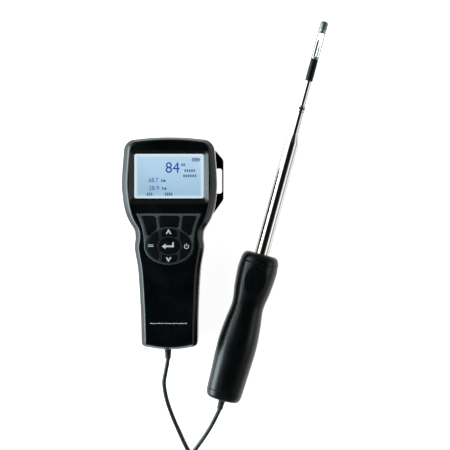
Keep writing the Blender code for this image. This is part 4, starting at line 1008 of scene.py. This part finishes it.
def make_strap_bracket(looks):
    points = []
    for i in range(25):
        y = BRACKET_BOTTOM_Y + (BRACKET_TOP_Y - BRACKET_BOTTOM_Y) * i / 24
        points.append((case_half_width(y) + GAP, y))
    points.append((BRACKET_REACH - 1.0 * MM, BRACKET_TOP_Y - BRACKET_SLANT + 2.0 * MM))
    points.append((BRACKET_REACH, BRACKET_TOP_Y - BRACKET_SLANT))
    points.append((BRACKET_REACH, BRACKET_BOTTOM_Y + BRACKET_FOOT_SLANT))
    points.append((BRACKET_REACH - 1.0 * MM, BRACKET_BOTTOM_Y + BRACKET_FOOT_SLANT - 2.0 * MM))
    outline = soften(points, 1.4 * MM, 30.0)
    top = BRACKET_Z + BRACKET_HEIGHT
    edges = ((0.15, 0.0), (0.05, 0.05), (0.0, 0.18))
    steps = [(shrunk(outline, inset * MM), BRACKET_Z + rise * MM) for inset, rise in edges]
    steps += [(shrunk(outline, inset * MM), top - rise * MM) for inset, rise in reversed(edges)]
    bracket = stacked("strap_loop", steps)
    outer = BRACKET_REACH - BRACKET_BAR
    inner = HEAD_WIDTH / 2 - WALL
    centre = ((outer + inner) / 2, (SLOT_BOTTOM_Y + SLOT_TOP_Y) / 2)
    slot = rounded_rectangle(centre, outer - inner, SLOT_TOP_Y - SLOT_BOTTOM_Y, 2.0 * MM)
    flare = shrunk(slot, -0.15 * MM)
    steps = [(flare, BRACKET_Z - 0.05 * MM), (slot, BRACKET_Z + 0.3 * MM)]
    steps += [(slot, top - 0.3 * MM), (flare, top + 0.05 * MM)]
    carve(bracket, stacked("slot", steps))
    dress(bracket, looks["case"], "meter", ["strap_bracket"])


# ---------------------------------------------------------------- keypad


def softkey_outline(side):
    """A key of the top row: -1 left, 0 middle, 1 right. Its foot follows the ring of keys."""
    top = KEYPAD_TOP_Y - RIB
    reach = RING_HALF_WIDTH + RIB * 0.5
    rise = RING_HALF_HEIGHT + RIB
    split = SOFTKEY_SPLIT_X

    def foot(x):
        share = min(abs(x) / reach, 0.999)
        return KEYPAD_CENTRE_Y + rise * sqrt(1 - share * share)

    if side == 0:
        low, high = split - RIB * 1.1, split - RIB * 0.5
        xs = [-low + 2 * low * i / 20 for i in range(21)]
        return [(x, foot(x)) for x in xs] + [(high, top), (-high, top)]
    near_low, near_high = split - RIB * 0.1, split + RIB * 0.6
    far_high = KEYPAD_TOP_HALF - RIB * 1.9
    far_low_y = KEYPAD_CENTRE_Y + RING_HALF_HEIGHT * 0.62
    far_low = KEYPAD_HALF_WIDTH - RIB * 1.0
    xs = [near_low + (far_low - near_low) * i / 14 for i in range(15)]
    points = [(x, max(foot(x), far_low_y)) for x in xs]
    start, end = (far_low, far_low_y), (far_high, top)
    knee = (far_low + (far_high - far_low) * 0.30, (far_low_y + top) / 2 + 1.0 * MM)
    points += bezier(start, knee, end, 8)[1:]
    points += [(near_high, top)]
    return [(x * side, y) for x, y in points]


def ring_key_outline(which):
    """A key between the enter key and the ring's rim, cut off from its neighbours at the splits."""
    gap = RIB / 2
    inner = (ENTER_HALF_WIDTH + RIB * 0.7, ENTER_HALF_HEIGHT + RIB * 0.7)
    outer = (RING_HALF_WIDTH, RING_HALF_HEIGHT)
    steps = 24
    if which in ("up", "down"):
        edge = KEY_SPLIT_X - gap
        xs = [-edge + 2 * edge * i / steps for i in range(steps + 1)]
        far = [(x, outer[1] * sqrt(1 - (x / outer[0]) ** 2)) for x in xs]
        near = [(x, inner[1] * sqrt(1 - (x / inner[0]) ** 2)) for x in reversed(xs)]
        flip = 1 if which == "up" else -1
        return [(x, KEYPAD_CENTRE_Y + flip * y) for x, y in far + near]
    edge = KEY_SPLIT_X + gap
    high = outer[1] * sqrt(1 - (edge / outer[0]) ** 2)
    low = inner[1] * sqrt(1 - (edge / inner[0]) ** 2)
    start, end = atan2(high / outer[1], edge / outer[0]), atan2(low / inner[1], edge / inner[0])
    far = [start - 2 * start * i / steps for i in range(steps + 1)]
    near = [-end + 2 * end * i / steps for i in range(steps + 1)]
    points = [(outer[0] * cos(a), outer[1] * sin(a)) for a in far]
    points += [(inner[0] * cos(a), inner[1] * sin(a)) for a in near]
    side = 1 if which == "right" else -1
    return [(side * x, KEYPAD_CENTRE_Y + y) for x, y in points]


KEYS = {
    "softkey_left": softkey_outline(-1),
    "softkey_middle": softkey_outline(0),
    "softkey_right": softkey_outline(1),
    "key_up": ring_key_outline("up"),
    "key_down": ring_key_outline("down"),
    "key_escape": ring_key_outline("left"),
    "key_power": ring_key_outline("right"),
    "key_enter": ellipse((0, KEYPAD_CENTRE_Y), ENTER_HALF_WIDTH, ENTER_HALF_HEIGHT, 72),
}


def make_keypad(looks):
    under = CASE_DEPTH - FACE_WALL - GAP
    flange = keypad_outline(1.4 * MM)
    steps = [
        (flange, under - 1.2 * MM),
        (flange, under),
        (keypad_outline(0.0), under),
        (keypad_outline(0.0), FRAME_TOP - 0.45 * MM),
        (keypad_outline(-0.12 * MM), FRAME_TOP - 0.14 * MM),
        (keypad_outline(-0.45 * MM), FRAME_TOP),
    ]
    ribs = stacked("keypad_ribs", steps)
    low, high = KEY_BOTTOM - 3.0 * MM, FRAME_TOP
    flares = [(0.0, low), (0.0, high - 0.4 * MM), (0.08, high - 0.16 * MM), (0.3, high + 0.05 * MM)]
    rise = [(0.0, -6.6), (0.0, -0.45), (0.02, -0.27), (0.08, -0.12), (0.17, -0.03), (0.28, 0.0), (0.32, 0.0)]
    holes = []
    for name, outline in KEYS.items():
        corner = soften(outline, KEY_CORNER, 50.0)
        holes.append(stacked(name + "_hole", [(shrunk(corner, -out * MM), z) for out, z in flares]))
        key = shrunk(corner, GAP)
        cap = stacked(name + "_cap", [(shrunk(key, inset * MM), KEY_TOP + z * MM) for inset, z in rise])
        dress(cap, looks["key"], name + "_body", [name], 50.0)
    carve(ribs, *holes)
    dress(ribs, looks["rib"], "meter", ["keypad_frame"], 50.0)


def stroke(points, width):
    """The outline of a bent line of some width."""
    left, right = [], []
    last = len(points) - 1
    for i, (x, y) in enumerate(points):
        (ax, ay), (bx, by) = points[max(i - 1, 0)], points[min(i + 1, last)]
        length = hypot(bx - ax, by - ay)
        nx, ny = -(by - ay) / length * width / 2, (bx - ax) / length * width / 2
        if 0 < i < last:
            ux, uy = points[i][0] - ax, points[i][1] - ay
            half = max(0.45, abs((ux * (bx - ax) + uy * (by - ay)) / (hypot(ux, uy) * length)))
            nx, ny = nx / half, ny / half
        left.append((x + nx, y + ny))
        right.append((x - nx, y - ny))
    return left + right[::-1]


def ring_arc(centre, radius, start, end, steps=24):
    turns = [radians(start + (end - start) * i / steps) for i in range(steps + 1)]
    return [(centre[0] + radius * cos(t), centre[1] + radius * sin(t)) for t in turns]


def make_key_marks(looks):
    """Printed marks: chevrons, a bar, a power ring and a return arrow."""
    marks = {
        "key_up": [stroke([(-2.0, 7.6), (-0.2, 10.5), (1.7, 7.6)], 1.15)],
        "key_down": [stroke([(-2.0, -12.0), (-0.2, -14.9), (1.7, -12.0)], 1.15)],
        "key_escape": [
            rectangle(-17.3, -1.3, -12.8, -1.9),
            rectangle(-17.3, -2.6, -12.8, -3.2),
        ],
        "key_power": [
            stroke(ring_arc((14.8, -2.9), 1.75, 125.0, 415.0), 0.62),
            rectangle(14.5, -2.6, 15.1, -0.2),
        ],
        "key_enter": [
            [(-5.9, -2.9), (-2.6, -0.6), (-2.6, -5.2)],
            [(-2.7, -2.1), (2.9, -2.1), (2.9, 0.7), (4.3, 0.7), (4.3, -3.6), (-2.7, -3.6)],
        ],
    }
    for name, outlines in marks.items():
        scaled = [[(x * MM, KEYPAD_CENTRE_Y + (y + 2.4) * MM) for x, y in outline] for outline in outlines]
        mark = plate(name + "_mark", scaled, KEY_TOP - 0.05 * MM, KEY_TOP - 0.001 * MM)
        mark.data.transform(Matrix.Translation((0, 0, 0.04 * MM)))
        dress(mark, looks["mark"], name + "_body")


# ---------------------------------------------------------------- display

INK_HEIGHT = 0.03 * MM
LABEL_ROWS = ((10.2, 64.6, 4.6), (13.0, 59.6, 9.6), (12.0, 55.2, 11.6))
FOOT_ROWS = ((-18.6, 5.4), (-3.4, 6.8))


def figures(name, text, low, high, level):
    """Figures fitted to a rectangle, as a thin mesh."""
    curve = bpy.data.curves.new(name, "FONT")
    curve.body = text
    curve.extrude = 0.01
    curve.resolution_u = 6
    written = bpy.data.objects.new(name + "_curve", curve)
    bpy.context.scene.collection.objects.link(written)
    bpy.context.view_layer.update()
    graph = bpy.context.evaluated_depsgraph_get()
    mesh = bpy.data.meshes.new_from_object(written.evaluated_get(graph))
    bpy.data.objects.remove(written, do_unlink=True)
    xs = [v.co.x for v in mesh.vertices]
    ys = [v.co.y for v in mesh.vertices]
    for v in mesh.vertices:
        x = low[0] + (v.co.x - min(xs)) / (max(xs) - min(xs)) * (high[0] - low[0])
        y = low[1] + (v.co.y - min(ys)) / (max(ys) - min(ys)) * (high[1] - low[1])
        v.co = (x * MM, y * MM, level + (INK_HEIGHT if v.co.z > 0 else 0.0))
    bm = bmesh.new()
    bm.from_mesh(mesh)
    bmesh.ops.remove_doubles(bm, verts=bm.verts, dist=0.001 * MM)
    return add_object(name, bm)


def make_display(looks):
    """The readings, a battery sign, and rows of small blocks where the labels stand."""
    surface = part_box("lcd_glass")[1].z
    readings = (
        ("display_reading", "84", (-2.9, 59.6), (8.7, 68.6)),
        ("display_small_reading_0", "68.7", (-17.0, 51.7), (-9.2, 55.4)),
        ("display_small_reading_1", "28.9", (-17.0, 45.1), (-8.4, 48.7)),
    )
    for name, text, low, high in readings:
        dress(figures(name, text, low, high, surface), looks["ink"], "meter")
    blocks = [(19.2, 68.4, 19.7, 71.4), (19.2, 68.4, 25.3, 68.9), (19.2, 70.9, 25.3, 71.4)]
    blocks += [(24.8, 68.4, 25.3, 71.4), (25.3, 69.3, 26.0, 70.5)]
    blocks += [(20.2 + 1.5 * i, 69.2, 21.3 + 1.5 * i, 70.6) for i in range(3)]
    unit_rows = [(x, y, width, 1.9, 1.15, y + 2.1) for x, y, width in LABEL_ROWS]
    foot_rows = [(x, 39.6, width, 1.7, 1.05, 42.2) for x, width in FOOT_ROWS]
    for x, y, width, pitch, block, top in unit_rows + foot_rows:
        blocks += [(x + i * pitch, y, x + i * pitch + block, top) for i in range(int(width / pitch))]
    for y, x in ((51.1, -6.6), (44.5, -5.8)):
        blocks += [(x, y, x + 0.9, y + 2.6), (x + 1.7, y, x + 3.6, y + 1.9)]
    outlines = [[(x * MM, (y + 0.8) * MM) for x, y in rectangle(*block)] for block in blocks]
    marks = plate("display_marks", outlines, surface, surface + INK_HEIGHT)
    dress(marks, looks["pale_ink"], "meter")


def make_grip_rule(looks):
    """A thin printed line across the lower grip, lying on the sloping face."""
    outline = rectangle(-16.0, -67.1, 15.4, -66.6)
    loops = []
    for rise in (-0.04, 0.25):
        loops.append([Vector((x * MM, y * MM, face_z(y * MM) + rise * MM)) for x, y in outline])
    dress(skinned("grip_rule", loops), looks["mark"], "meter")


# ---------------------------------------------------------------- glands, screws


def gland_profile(face):
    bore, big, small = GLAND_BORE / 2, GLAND_DIAMETER / 2, GLAND_TIP / 2
    profile = [(bore, face + 2 * WALL), (big, face + 2 * WALL), (big, face)]
    profile += [(big - 0.1 * MM, face - 0.5 * MM), (big - 0.6 * MM, face - 1.1 * MM)]
    rings = 4
    start, length = face - 1.6 * MM, GLAND_LENGTH - 2.2 * MM
    for i in range(rings * 4 + 1):
        share = i / (rings * 4)
        taper = big - 0.8 * MM + (small + 0.05 * MM - big + 0.8 * MM) * share**0.7
        groove = 0.32 * MM if i % 4 in (2, 3) else 0.0
        profile.append((max(taper - groove, small - 0.05 * MM), start - length * share))
    profile += [(small - 0.12 * MM, face - GLAND_LENGTH), (bore, face - GLAND_LENGTH)]
    return profile


def make_glands(looks):
    origin = (CORD_EXIT[0], 0, CORD_EXIT[2])
    gland = turned("meter_strain_relief", gland_profile(-TOP_Y), origin, "Y", 48)
    dress(gland, looks["rubber"], "meter", ["meter_cord_gland"])
    gland = turned("probe_strain_relief", gland_profile(0.0), (0, 0, 0), "Y", 48)
    dress(gland, looks["rubber"], "probe", ["probe_cord_gland"], in_probe=True)


def make_screws(looks):
    radius = SCREW_HEAD / 2
    dome = [(0, 1.15), (0.9, 1.17), (1.7, 1.28), (2.3, 1.52), (2.6, 1.95)]
    profile = in_metres(dome)
    profile += [(radius, SCREW_DEPTH - GAP), (SCREW_SHANK / 2, SCREW_DEPTH - GAP)]
    profile += [(SCREW_SHANK / 2, SCREW_TIP_Z), (0, SCREW_TIP_Z)]
    for number, (x, y) in enumerate(SCREW_PLACES, 1):
        screw = turned(f"case_screw_head_{number}", profile, (x * MM, y * MM, 0), "Z", 40)
        slots = []
        for wide, tall in ((1.7, 0.38), (0.38, 1.7)):
            low = ((x - wide) * MM, (y - tall) * MM, 0)
            slots.append(box("cross", low, ((x + wide) * MM, (y + tall) * MM, 2.1 * MM)))
        carve(screw, *slots)
        dress(screw, looks["steel"], "meter", [f"case_screw_{number}"])


# ---------------------------------------------------------------- probe


def handle_half_width(s):
    stations = [
        (0.0, HANDLE_END_WIDTH / 2),
        (HANDLE_LENGTH * 0.15, HANDLE_BULGE_WIDTH / 2 - 1.0 * MM),
        (HANDLE_LENGTH * 0.38, HANDLE_BULGE_WIDTH / 2),
        (HANDLE_LENGTH * 0.52, (HANDLE_BULGE_WIDTH * 0.57 + HANDLE_WAIST_WIDTH * 0.43) / 2),
        (HANDLE_LENGTH * 0.645, HANDLE_WAIST_WIDTH / 2),
        (HANDLE_LENGTH * 0.76, (HANDLE_BULGE_WIDTH * 0.62 + HANDLE_WAIST_WIDTH * 0.38) / 2),
        (HANDLE_LENGTH * 0.88, HANDLE_BULGE_WIDTH / 2),
        (HANDLE_LENGTH - HANDLE_NOSE, HANDLE_BULGE_WIDTH / 2 - 0.4 * MM),
        (HANDLE_LENGTH, HANDLE_BULGE_WIDTH / 2 - 1.0 * MM),
    ]
    return smooth_reading(stations, s)


def handle_point(s, inset, angle, shrink=1.0):
    half_x = (handle_half_width(s) - inset) * shrink
    half_z = (min(handle_half_width(s) * HANDLE_DEPTH_RATIO, PROBE_Z) - inset) * shrink
    c, d = cos(angle), sin(angle)
    x = half_x * abs(c) ** 0.85 * (1 if c >= 0 else -1)
    z = half_z * abs(d) ** 0.85 * (1 if d >= 0 else -1)
    return x, z


def dish_drop(x, s):
    """How far the thumb's dish sinks below the handle's surface."""
    across = x / (DISH_WIDTH / 2)
    along = (s - HANDLE_LENGTH + DISH_FROM_TOP) / (DISH_LENGTH / 2)
    edge = 1.0 - sqrt(across**2 + along**2)
    if edge <= 0:
        return 0.0
    return DISH_DEPTH * (0.42 * smoothstep(edge / 0.10) + 0.58 * smoothstep(edge / 0.85))


def make_handle_half(name, upper, looks, replaced):
    """One half of the handle's shell: a trough between the end cap and the nose."""
    steps, stations = 72, 200
    start, end = HANDLE_END + GAP, HANDLE_LENGTH - HANDLE_NOSE - GAP
    base = 0.0 if upper else pi
    split = GAP / 2 if upper else -GAP / 2
    bm = bmesh.new()
    rows = []
    for k in range(stations + 1):
        s = start + (end - start) * k / stations
        round_over = 0.0
        for edge in (s - start, end - s):
            round_over = max(round_over, 0.35 * MM - edge)
        row = []
        for inner in (False, True):
            for i in range(steps + 1):
                angle = base + pi * (steps - i if inner else i) / steps
                x, z = handle_point(s, HANDLE_WALL if inner else round_over * 0.7, angle)
                if upper and not inner:
                    z -= dish_drop(x, s)
                z = max(z, split) if upper else min(z, split)
                row.append(bm.verts.new((x, s, z)))
        rows.append(row)
    count = len(rows[0])
    for low, high in zip(rows, rows[1:]):
        join_rings(bm, low, high)
    for row in (rows[0], rows[-1]):
        for i in range(steps):
            bm.faces.new((row[i], row[i + 1], row[count - 2 - i], row[count - 1 - i]))
    half = add_object(name, bm)
    dress(half, looks["handle"], "probe", [replaced], 55.0, in_probe=True)


def handle_ring(s, shrink):
    points = [handle_point(s, 0.0, 2 * pi * i / HANDLE_SEGMENTS, shrink) for i in range(HANDLE_SEGMENTS)]
    return [Vector((x, s, z)) for x, z in points]


def bore_ring(s, radius):
    turns = [2 * pi * i / HANDLE_SEGMENTS for i in range(HANDLE_SEGMENTS)]
    return [Vector((radius * cos(t), s, radius * sin(t))) for t in turns]


def make_handle_end(name, outside, bore, look, replaced):
    """A cap about a bore: (share of the handle's section, place) outside, (place, radius) inside."""
    loops = [handle_ring(s, share) for share, s in outside] + [bore_ring(s, radius) for s, radius in bore]
    cap = skinned(name, loops, closed=True)
    dress(cap, look, "probe", [replaced], 50.0, in_probe=True)


def make_handle(looks):
    make_handle_half("handle_front", True, looks, "handle_front_shell")
    make_handle_half("handle_rear", False, looks, "handle_rear_shell")
    curve = ((0.76, 0.0), (0.82, 0.025), (0.87, 0.09), (0.915, 0.19), (0.95, 0.33), (0.98, 0.56), (1.0, 1.0))
    outside = [(share, HANDLE_END * depth) for share, depth in curve]
    radius = GLAND_DIAMETER / 2 + GAP
    bore = [(HANDLE_END, radius), (0.25 * MM, radius), (0.0, radius + 0.25 * MM)]
    make_handle_end("handle_cap", outside, bore, looks["handle"], "handle_end_cap")
    start = HANDLE_LENGTH - HANDLE_NOSE
    curve = ((1.0, 0.0), (0.995, 0.2), (0.984, 0.4), (0.96, 0.58), (0.925, 0.74), (0.88, 0.86))
    curve += ((0.82, 0.945), (0.75, 0.99), (0.68, 1.0))
    outside = [(share, start + HANDLE_NOSE * depth) for share, depth in curve]
    radius = SECTION_DIAMETERS[0] / 2 * MM + GAP
    bore = [(HANDLE_LENGTH, radius + 0.3 * MM), (HANDLE_LENGTH - 0.3 * MM, radius), (start, radius)]
    make_handle_end("handle_tip", outside, bore, looks["handle"], "handle_nose")


def crimp_balls(name, radius, reach, end):
    """Two balls on the collar's upper side, as a cutter for its dimples or as the painted shade in them."""
    bm = bmesh.new()
    for angle in (58.0, 122.0):
        made = bmesh.ops.create_uvsphere(bm, u_segments=20, v_segments=12, radius=radius * MM)
        across, up = reach * cos(radians(angle)), reach * sin(radians(angle))
        bmesh.ops.translate(bm, vec=Vector((across, end + 2.5, up)) * MM, verts=made["verts"])
    return add_object(name, bm)


def on_probe(name, profile, segments=64, start=0.0, across=0.0):
    """A turned piece of the probe, from a profile in millimetres."""
    return turned(name, in_metres(profile, start), (across * MM, 0, 0), segments=segments)


def make_telescope(looks):
    for number, (diameter, start, end) in enumerate(zip(SECTION_DIAMETERS, SECTION_STARTS, SECTION_ENDS), 1):
        outer = diameter / 2
        inner = outer - SECTION_WALL
        roll = [(outer, start), (outer, end - 0.5), (outer - 0.05, end - 0.2), (outer - 0.14, end - 0.05)]
        profile = [(inner, start), *roll, (outer - 0.24, end), (inner, end)]
        tube = on_probe(f"probe_section_{number}", profile, 96)
        body = "probe" if number == 1 else f"section_{number}"
        dress(tube, looks["chrome"], body, [f"probe_tube_{number}"], 30.0, in_probe=True)
    end = SECTION_ENDS[-1] + END_GAP
    ridge = [(3.45, 0.0), (3.75, 0.15), (4.02, 0.45), (4.05, 0.8), (4.05, 3.9), (3.98, 4.4)]
    ridge += [(3.75, COLLAR_LENGTH), (3.45, COLLAR_LENGTH)]
    collar = on_probe("stem_collar", ridge, 96, end)
    carve(collar, crimp_balls("crimp_cutter", *DIMPLE, end))
    # Painted shade: dark balls sit in the dimples where shade falls.
    crimp_shade = crimp_balls("collar_crimp_shade", *DIMPLE_SHADE, end)
    dress(crimp_shade, looks["crimp"], "section_5", in_probe=True)
    dress(collar, looks["chrome"], "section_5", ["probe_collar"], 35.0, in_probe=True)
    stem_end = end + COLLAR_LENGTH + STEM_LENGTH
    profile = [(2.6, end), (3.15, end), (3.15, stem_end - 0.2), (3.0, stem_end), (2.6, stem_end)]
    stem = on_probe("sensor_stem", profile)
    dress(stem, looks["chrome"], "section_5", ["probe_stem"], 30.0, in_probe=True)
    return stem_end


def sensor_profile(half, start, length):
    """A rod with a waisted, rounded end."""
    tip = start + length
    profile = [(0, start), (half, start), (half, tip - 1.6), (half * 0.8, tip - 1.3), (half * 0.8, tip - 1.1)]
    profile += [(half, tip - 0.8), (half * 0.9, tip - 0.35), (half * 0.5, tip), (0, tip)]
    return profile


def make_sensor_head(stem_end, looks):
    radius = HEAD_RADIUS
    groove = radius - 0.16
    start = stem_end + END_GAP
    end = start + SLEEVE_LENGTH
    profile = [(0, start), (2.85, start), (3.2, start + 0.15), (radius, start + 0.5)]
    for at in (1.6, 16.9):
        profile += [(radius, start + at), (groove, start + at + 0.12)]
        profile += [(groove, start + at + 0.42), (radius, start + at + 0.54)]
    profile += [(radius, end - 0.5), (radius - 0.15, end - 0.15), (radius - 0.45, end), (0, end)]
    sleeve = on_probe("sensor_sleeve", profile)
    dress(sleeve, looks["key"], "section_5", ["tip_sleeve"], 35.0, in_probe=True)
    guard_start = end + END_GAP
    guard_end = guard_start + GUARD_LENGTH
    inner = radius - 0.55
    profile = [(inner, guard_start), (radius, guard_start), (radius, guard_end), (inner, guard_end)]
    guard = on_probe("sensor_cage", profile)
    half = sqrt(radius**2 - (CAGE_BAR / 2) ** 2) - 0.52
    length = guard_end - guard_start - 2 * CAGE_END
    outline = rounded_rectangle((0, (guard_start + guard_end) / 2 * MM), 2 * half * MM, length * MM, 0.9 * MM)
    carve(guard, plate("cage_window", [outline], -6.0 * MM, 6.0 * MM))
    dress(guard, looks["cage"], "section_5", ["sensor_guard"], 35.0, in_probe=True)
    rods = (
        ("sensor_bead_rod", -1.1, 1.5, 17.0, "velocity_sensor", "sensor", "sensor_dark"),
        ("sensor_thermistor", 1.1, 1.05, 11.9, "temperature_sensor", "steel", "steel"),
    )
    for name, across, diameter, length, replaced, look, slot in rods:
        rod = on_probe(name, sensor_profile(diameter / 2, guard_start, length), 32, across=across)
        dress(rod, looks[look], "section_5", [replaced], 45.0, in_probe=True)
    tip = 3.5
    dome = [(0, 0.0), (tip - 0.2, 0.0), (tip, 0.25), (tip, 4.6), (3.46, 5.3), (3.3, 6.1), (3.0, 6.75)]
    dome += [(2.5, 7.17), (1.7, 7.37), (0, 7.4)]
    cap = on_probe("probe_tip", dome, start=guard_end + END_GAP)
    dress(cap, looks["tip"], "section_5", ["tip_cap"], 40.0, in_probe=True)


# ---------------------------------------------------------------- CAD nodes that stay


def repaint(looks):
    """Parts inside the case and its sockets keep their CAD shape under a finished material."""
    painted = {
        "display_lens": "lens",
        "lcd_glass": "lcd",
        "lcd_backlight": "back",
        "keypad_mat": "rubber",
        "main_board": "board",
        "battery_contact_rear": "nickel",
        "battery_contact_front": "nickel",
        "dc_jack": "sensor",
        "data_port": "steel",
        "cord_coil_tie": "rubber",
    }
    painted.update({f"battery_{n}": "wrap" for n in range(1, 5)})
    for name, look in painted.items():
        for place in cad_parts[name].material_slots:
            place.material = looks[look]


# ---------------------------------------------------------------- studio

FLOOR_REACH = 6.0


def area_light(name, location, target, width, height, power, colour=(1, 1, 1)):
    data = bpy.data.lights.new(name, "AREA")
    data.shape = "RECTANGLE"
    data.size = width
    data.size_y = height
    data.energy = power
    data.color = colour
    light = bpy.data.objects.new(name, data)
    light.location = location
    toward = Vector(target) - Vector(location)
    light.rotation_euler = toward.to_track_quat("-Z", "Y").to_euler()
    bpy.context.scene.collection.objects.link(light)


def make_world():
    """Light walls, the left one brighter, under a dark ceiling and with dim ends."""
    world = bpy.data.worlds.new("studio")
    bpy.context.scene.world = world
    world.use_nodes = True
    tree = world.node_tree
    toward = parts_of(tree, node(tree, "ShaderNodeTexCoord").outputs["Generated"])
    level = spread(tree, toward["Z"], 0.0, 1.0, 0.40, 0.93)
    side = spread(tree, toward["X"], 0.0, 1.0, -0.15, 0.45)
    ends = spread(tree, figured(tree, "ABSOLUTE", toward["Y"]), 0.0, 1.0, 0.55, 0.92)
    sides = mixed(tree, side, (0.62, 0.72, 0.74), (0.36, 0.36, 0.35))
    walls = mixed(tree, ends, sides, (0.13, 0.14, 0.14))
    feed(tree, tree.nodes["Background"].inputs["Color"], mixed(tree, level, walls, (0.006, 0.008, 0.009)))


def make_studio(looks):
    bm = bmesh.new()
    bmesh.ops.create_grid(bm, x_segments=1, y_segments=1, size=FLOOR_REACH)
    floor = add_object("floor", bm)
    floor.data.materials.append(looks["paper"])
    make_world()
    area_light("left_softbox", (-0.75, 0.02, 0.22), (0.0, 0.0, 0.03), 1.0, 0.46, 17.0, (0.76, 0.95, 1.0))
    area_light("upper_left", (-0.55, 0.35, 0.75), (0.02, 0.0, 0.02), 0.5, 0.35, 1.2)
    area_light("right_fill", (0.85, -0.1, 0.55), (0.05, 0.0, 0.02), 0.5, 0.4, 0.8)
    bpy.context.scene.view_settings.view_transform = "Standard"


def main():
    make_camera()
    looks = make_looks()
    make_cord(looks)
    make_case_front(looks)
    make_case_rear(looks)
    make_battery_cover(looks)
    make_strap_bracket(looks)
    make_keypad(looks)
    make_key_marks(looks)
    make_display(looks)
    make_grip_rule(looks)
    make_glands(looks)
    make_screws(looks)
    make_handle(looks)
    make_sensor_head(make_telescope(looks), looks)
    repaint(looks)
    make_studio(looks)


main()
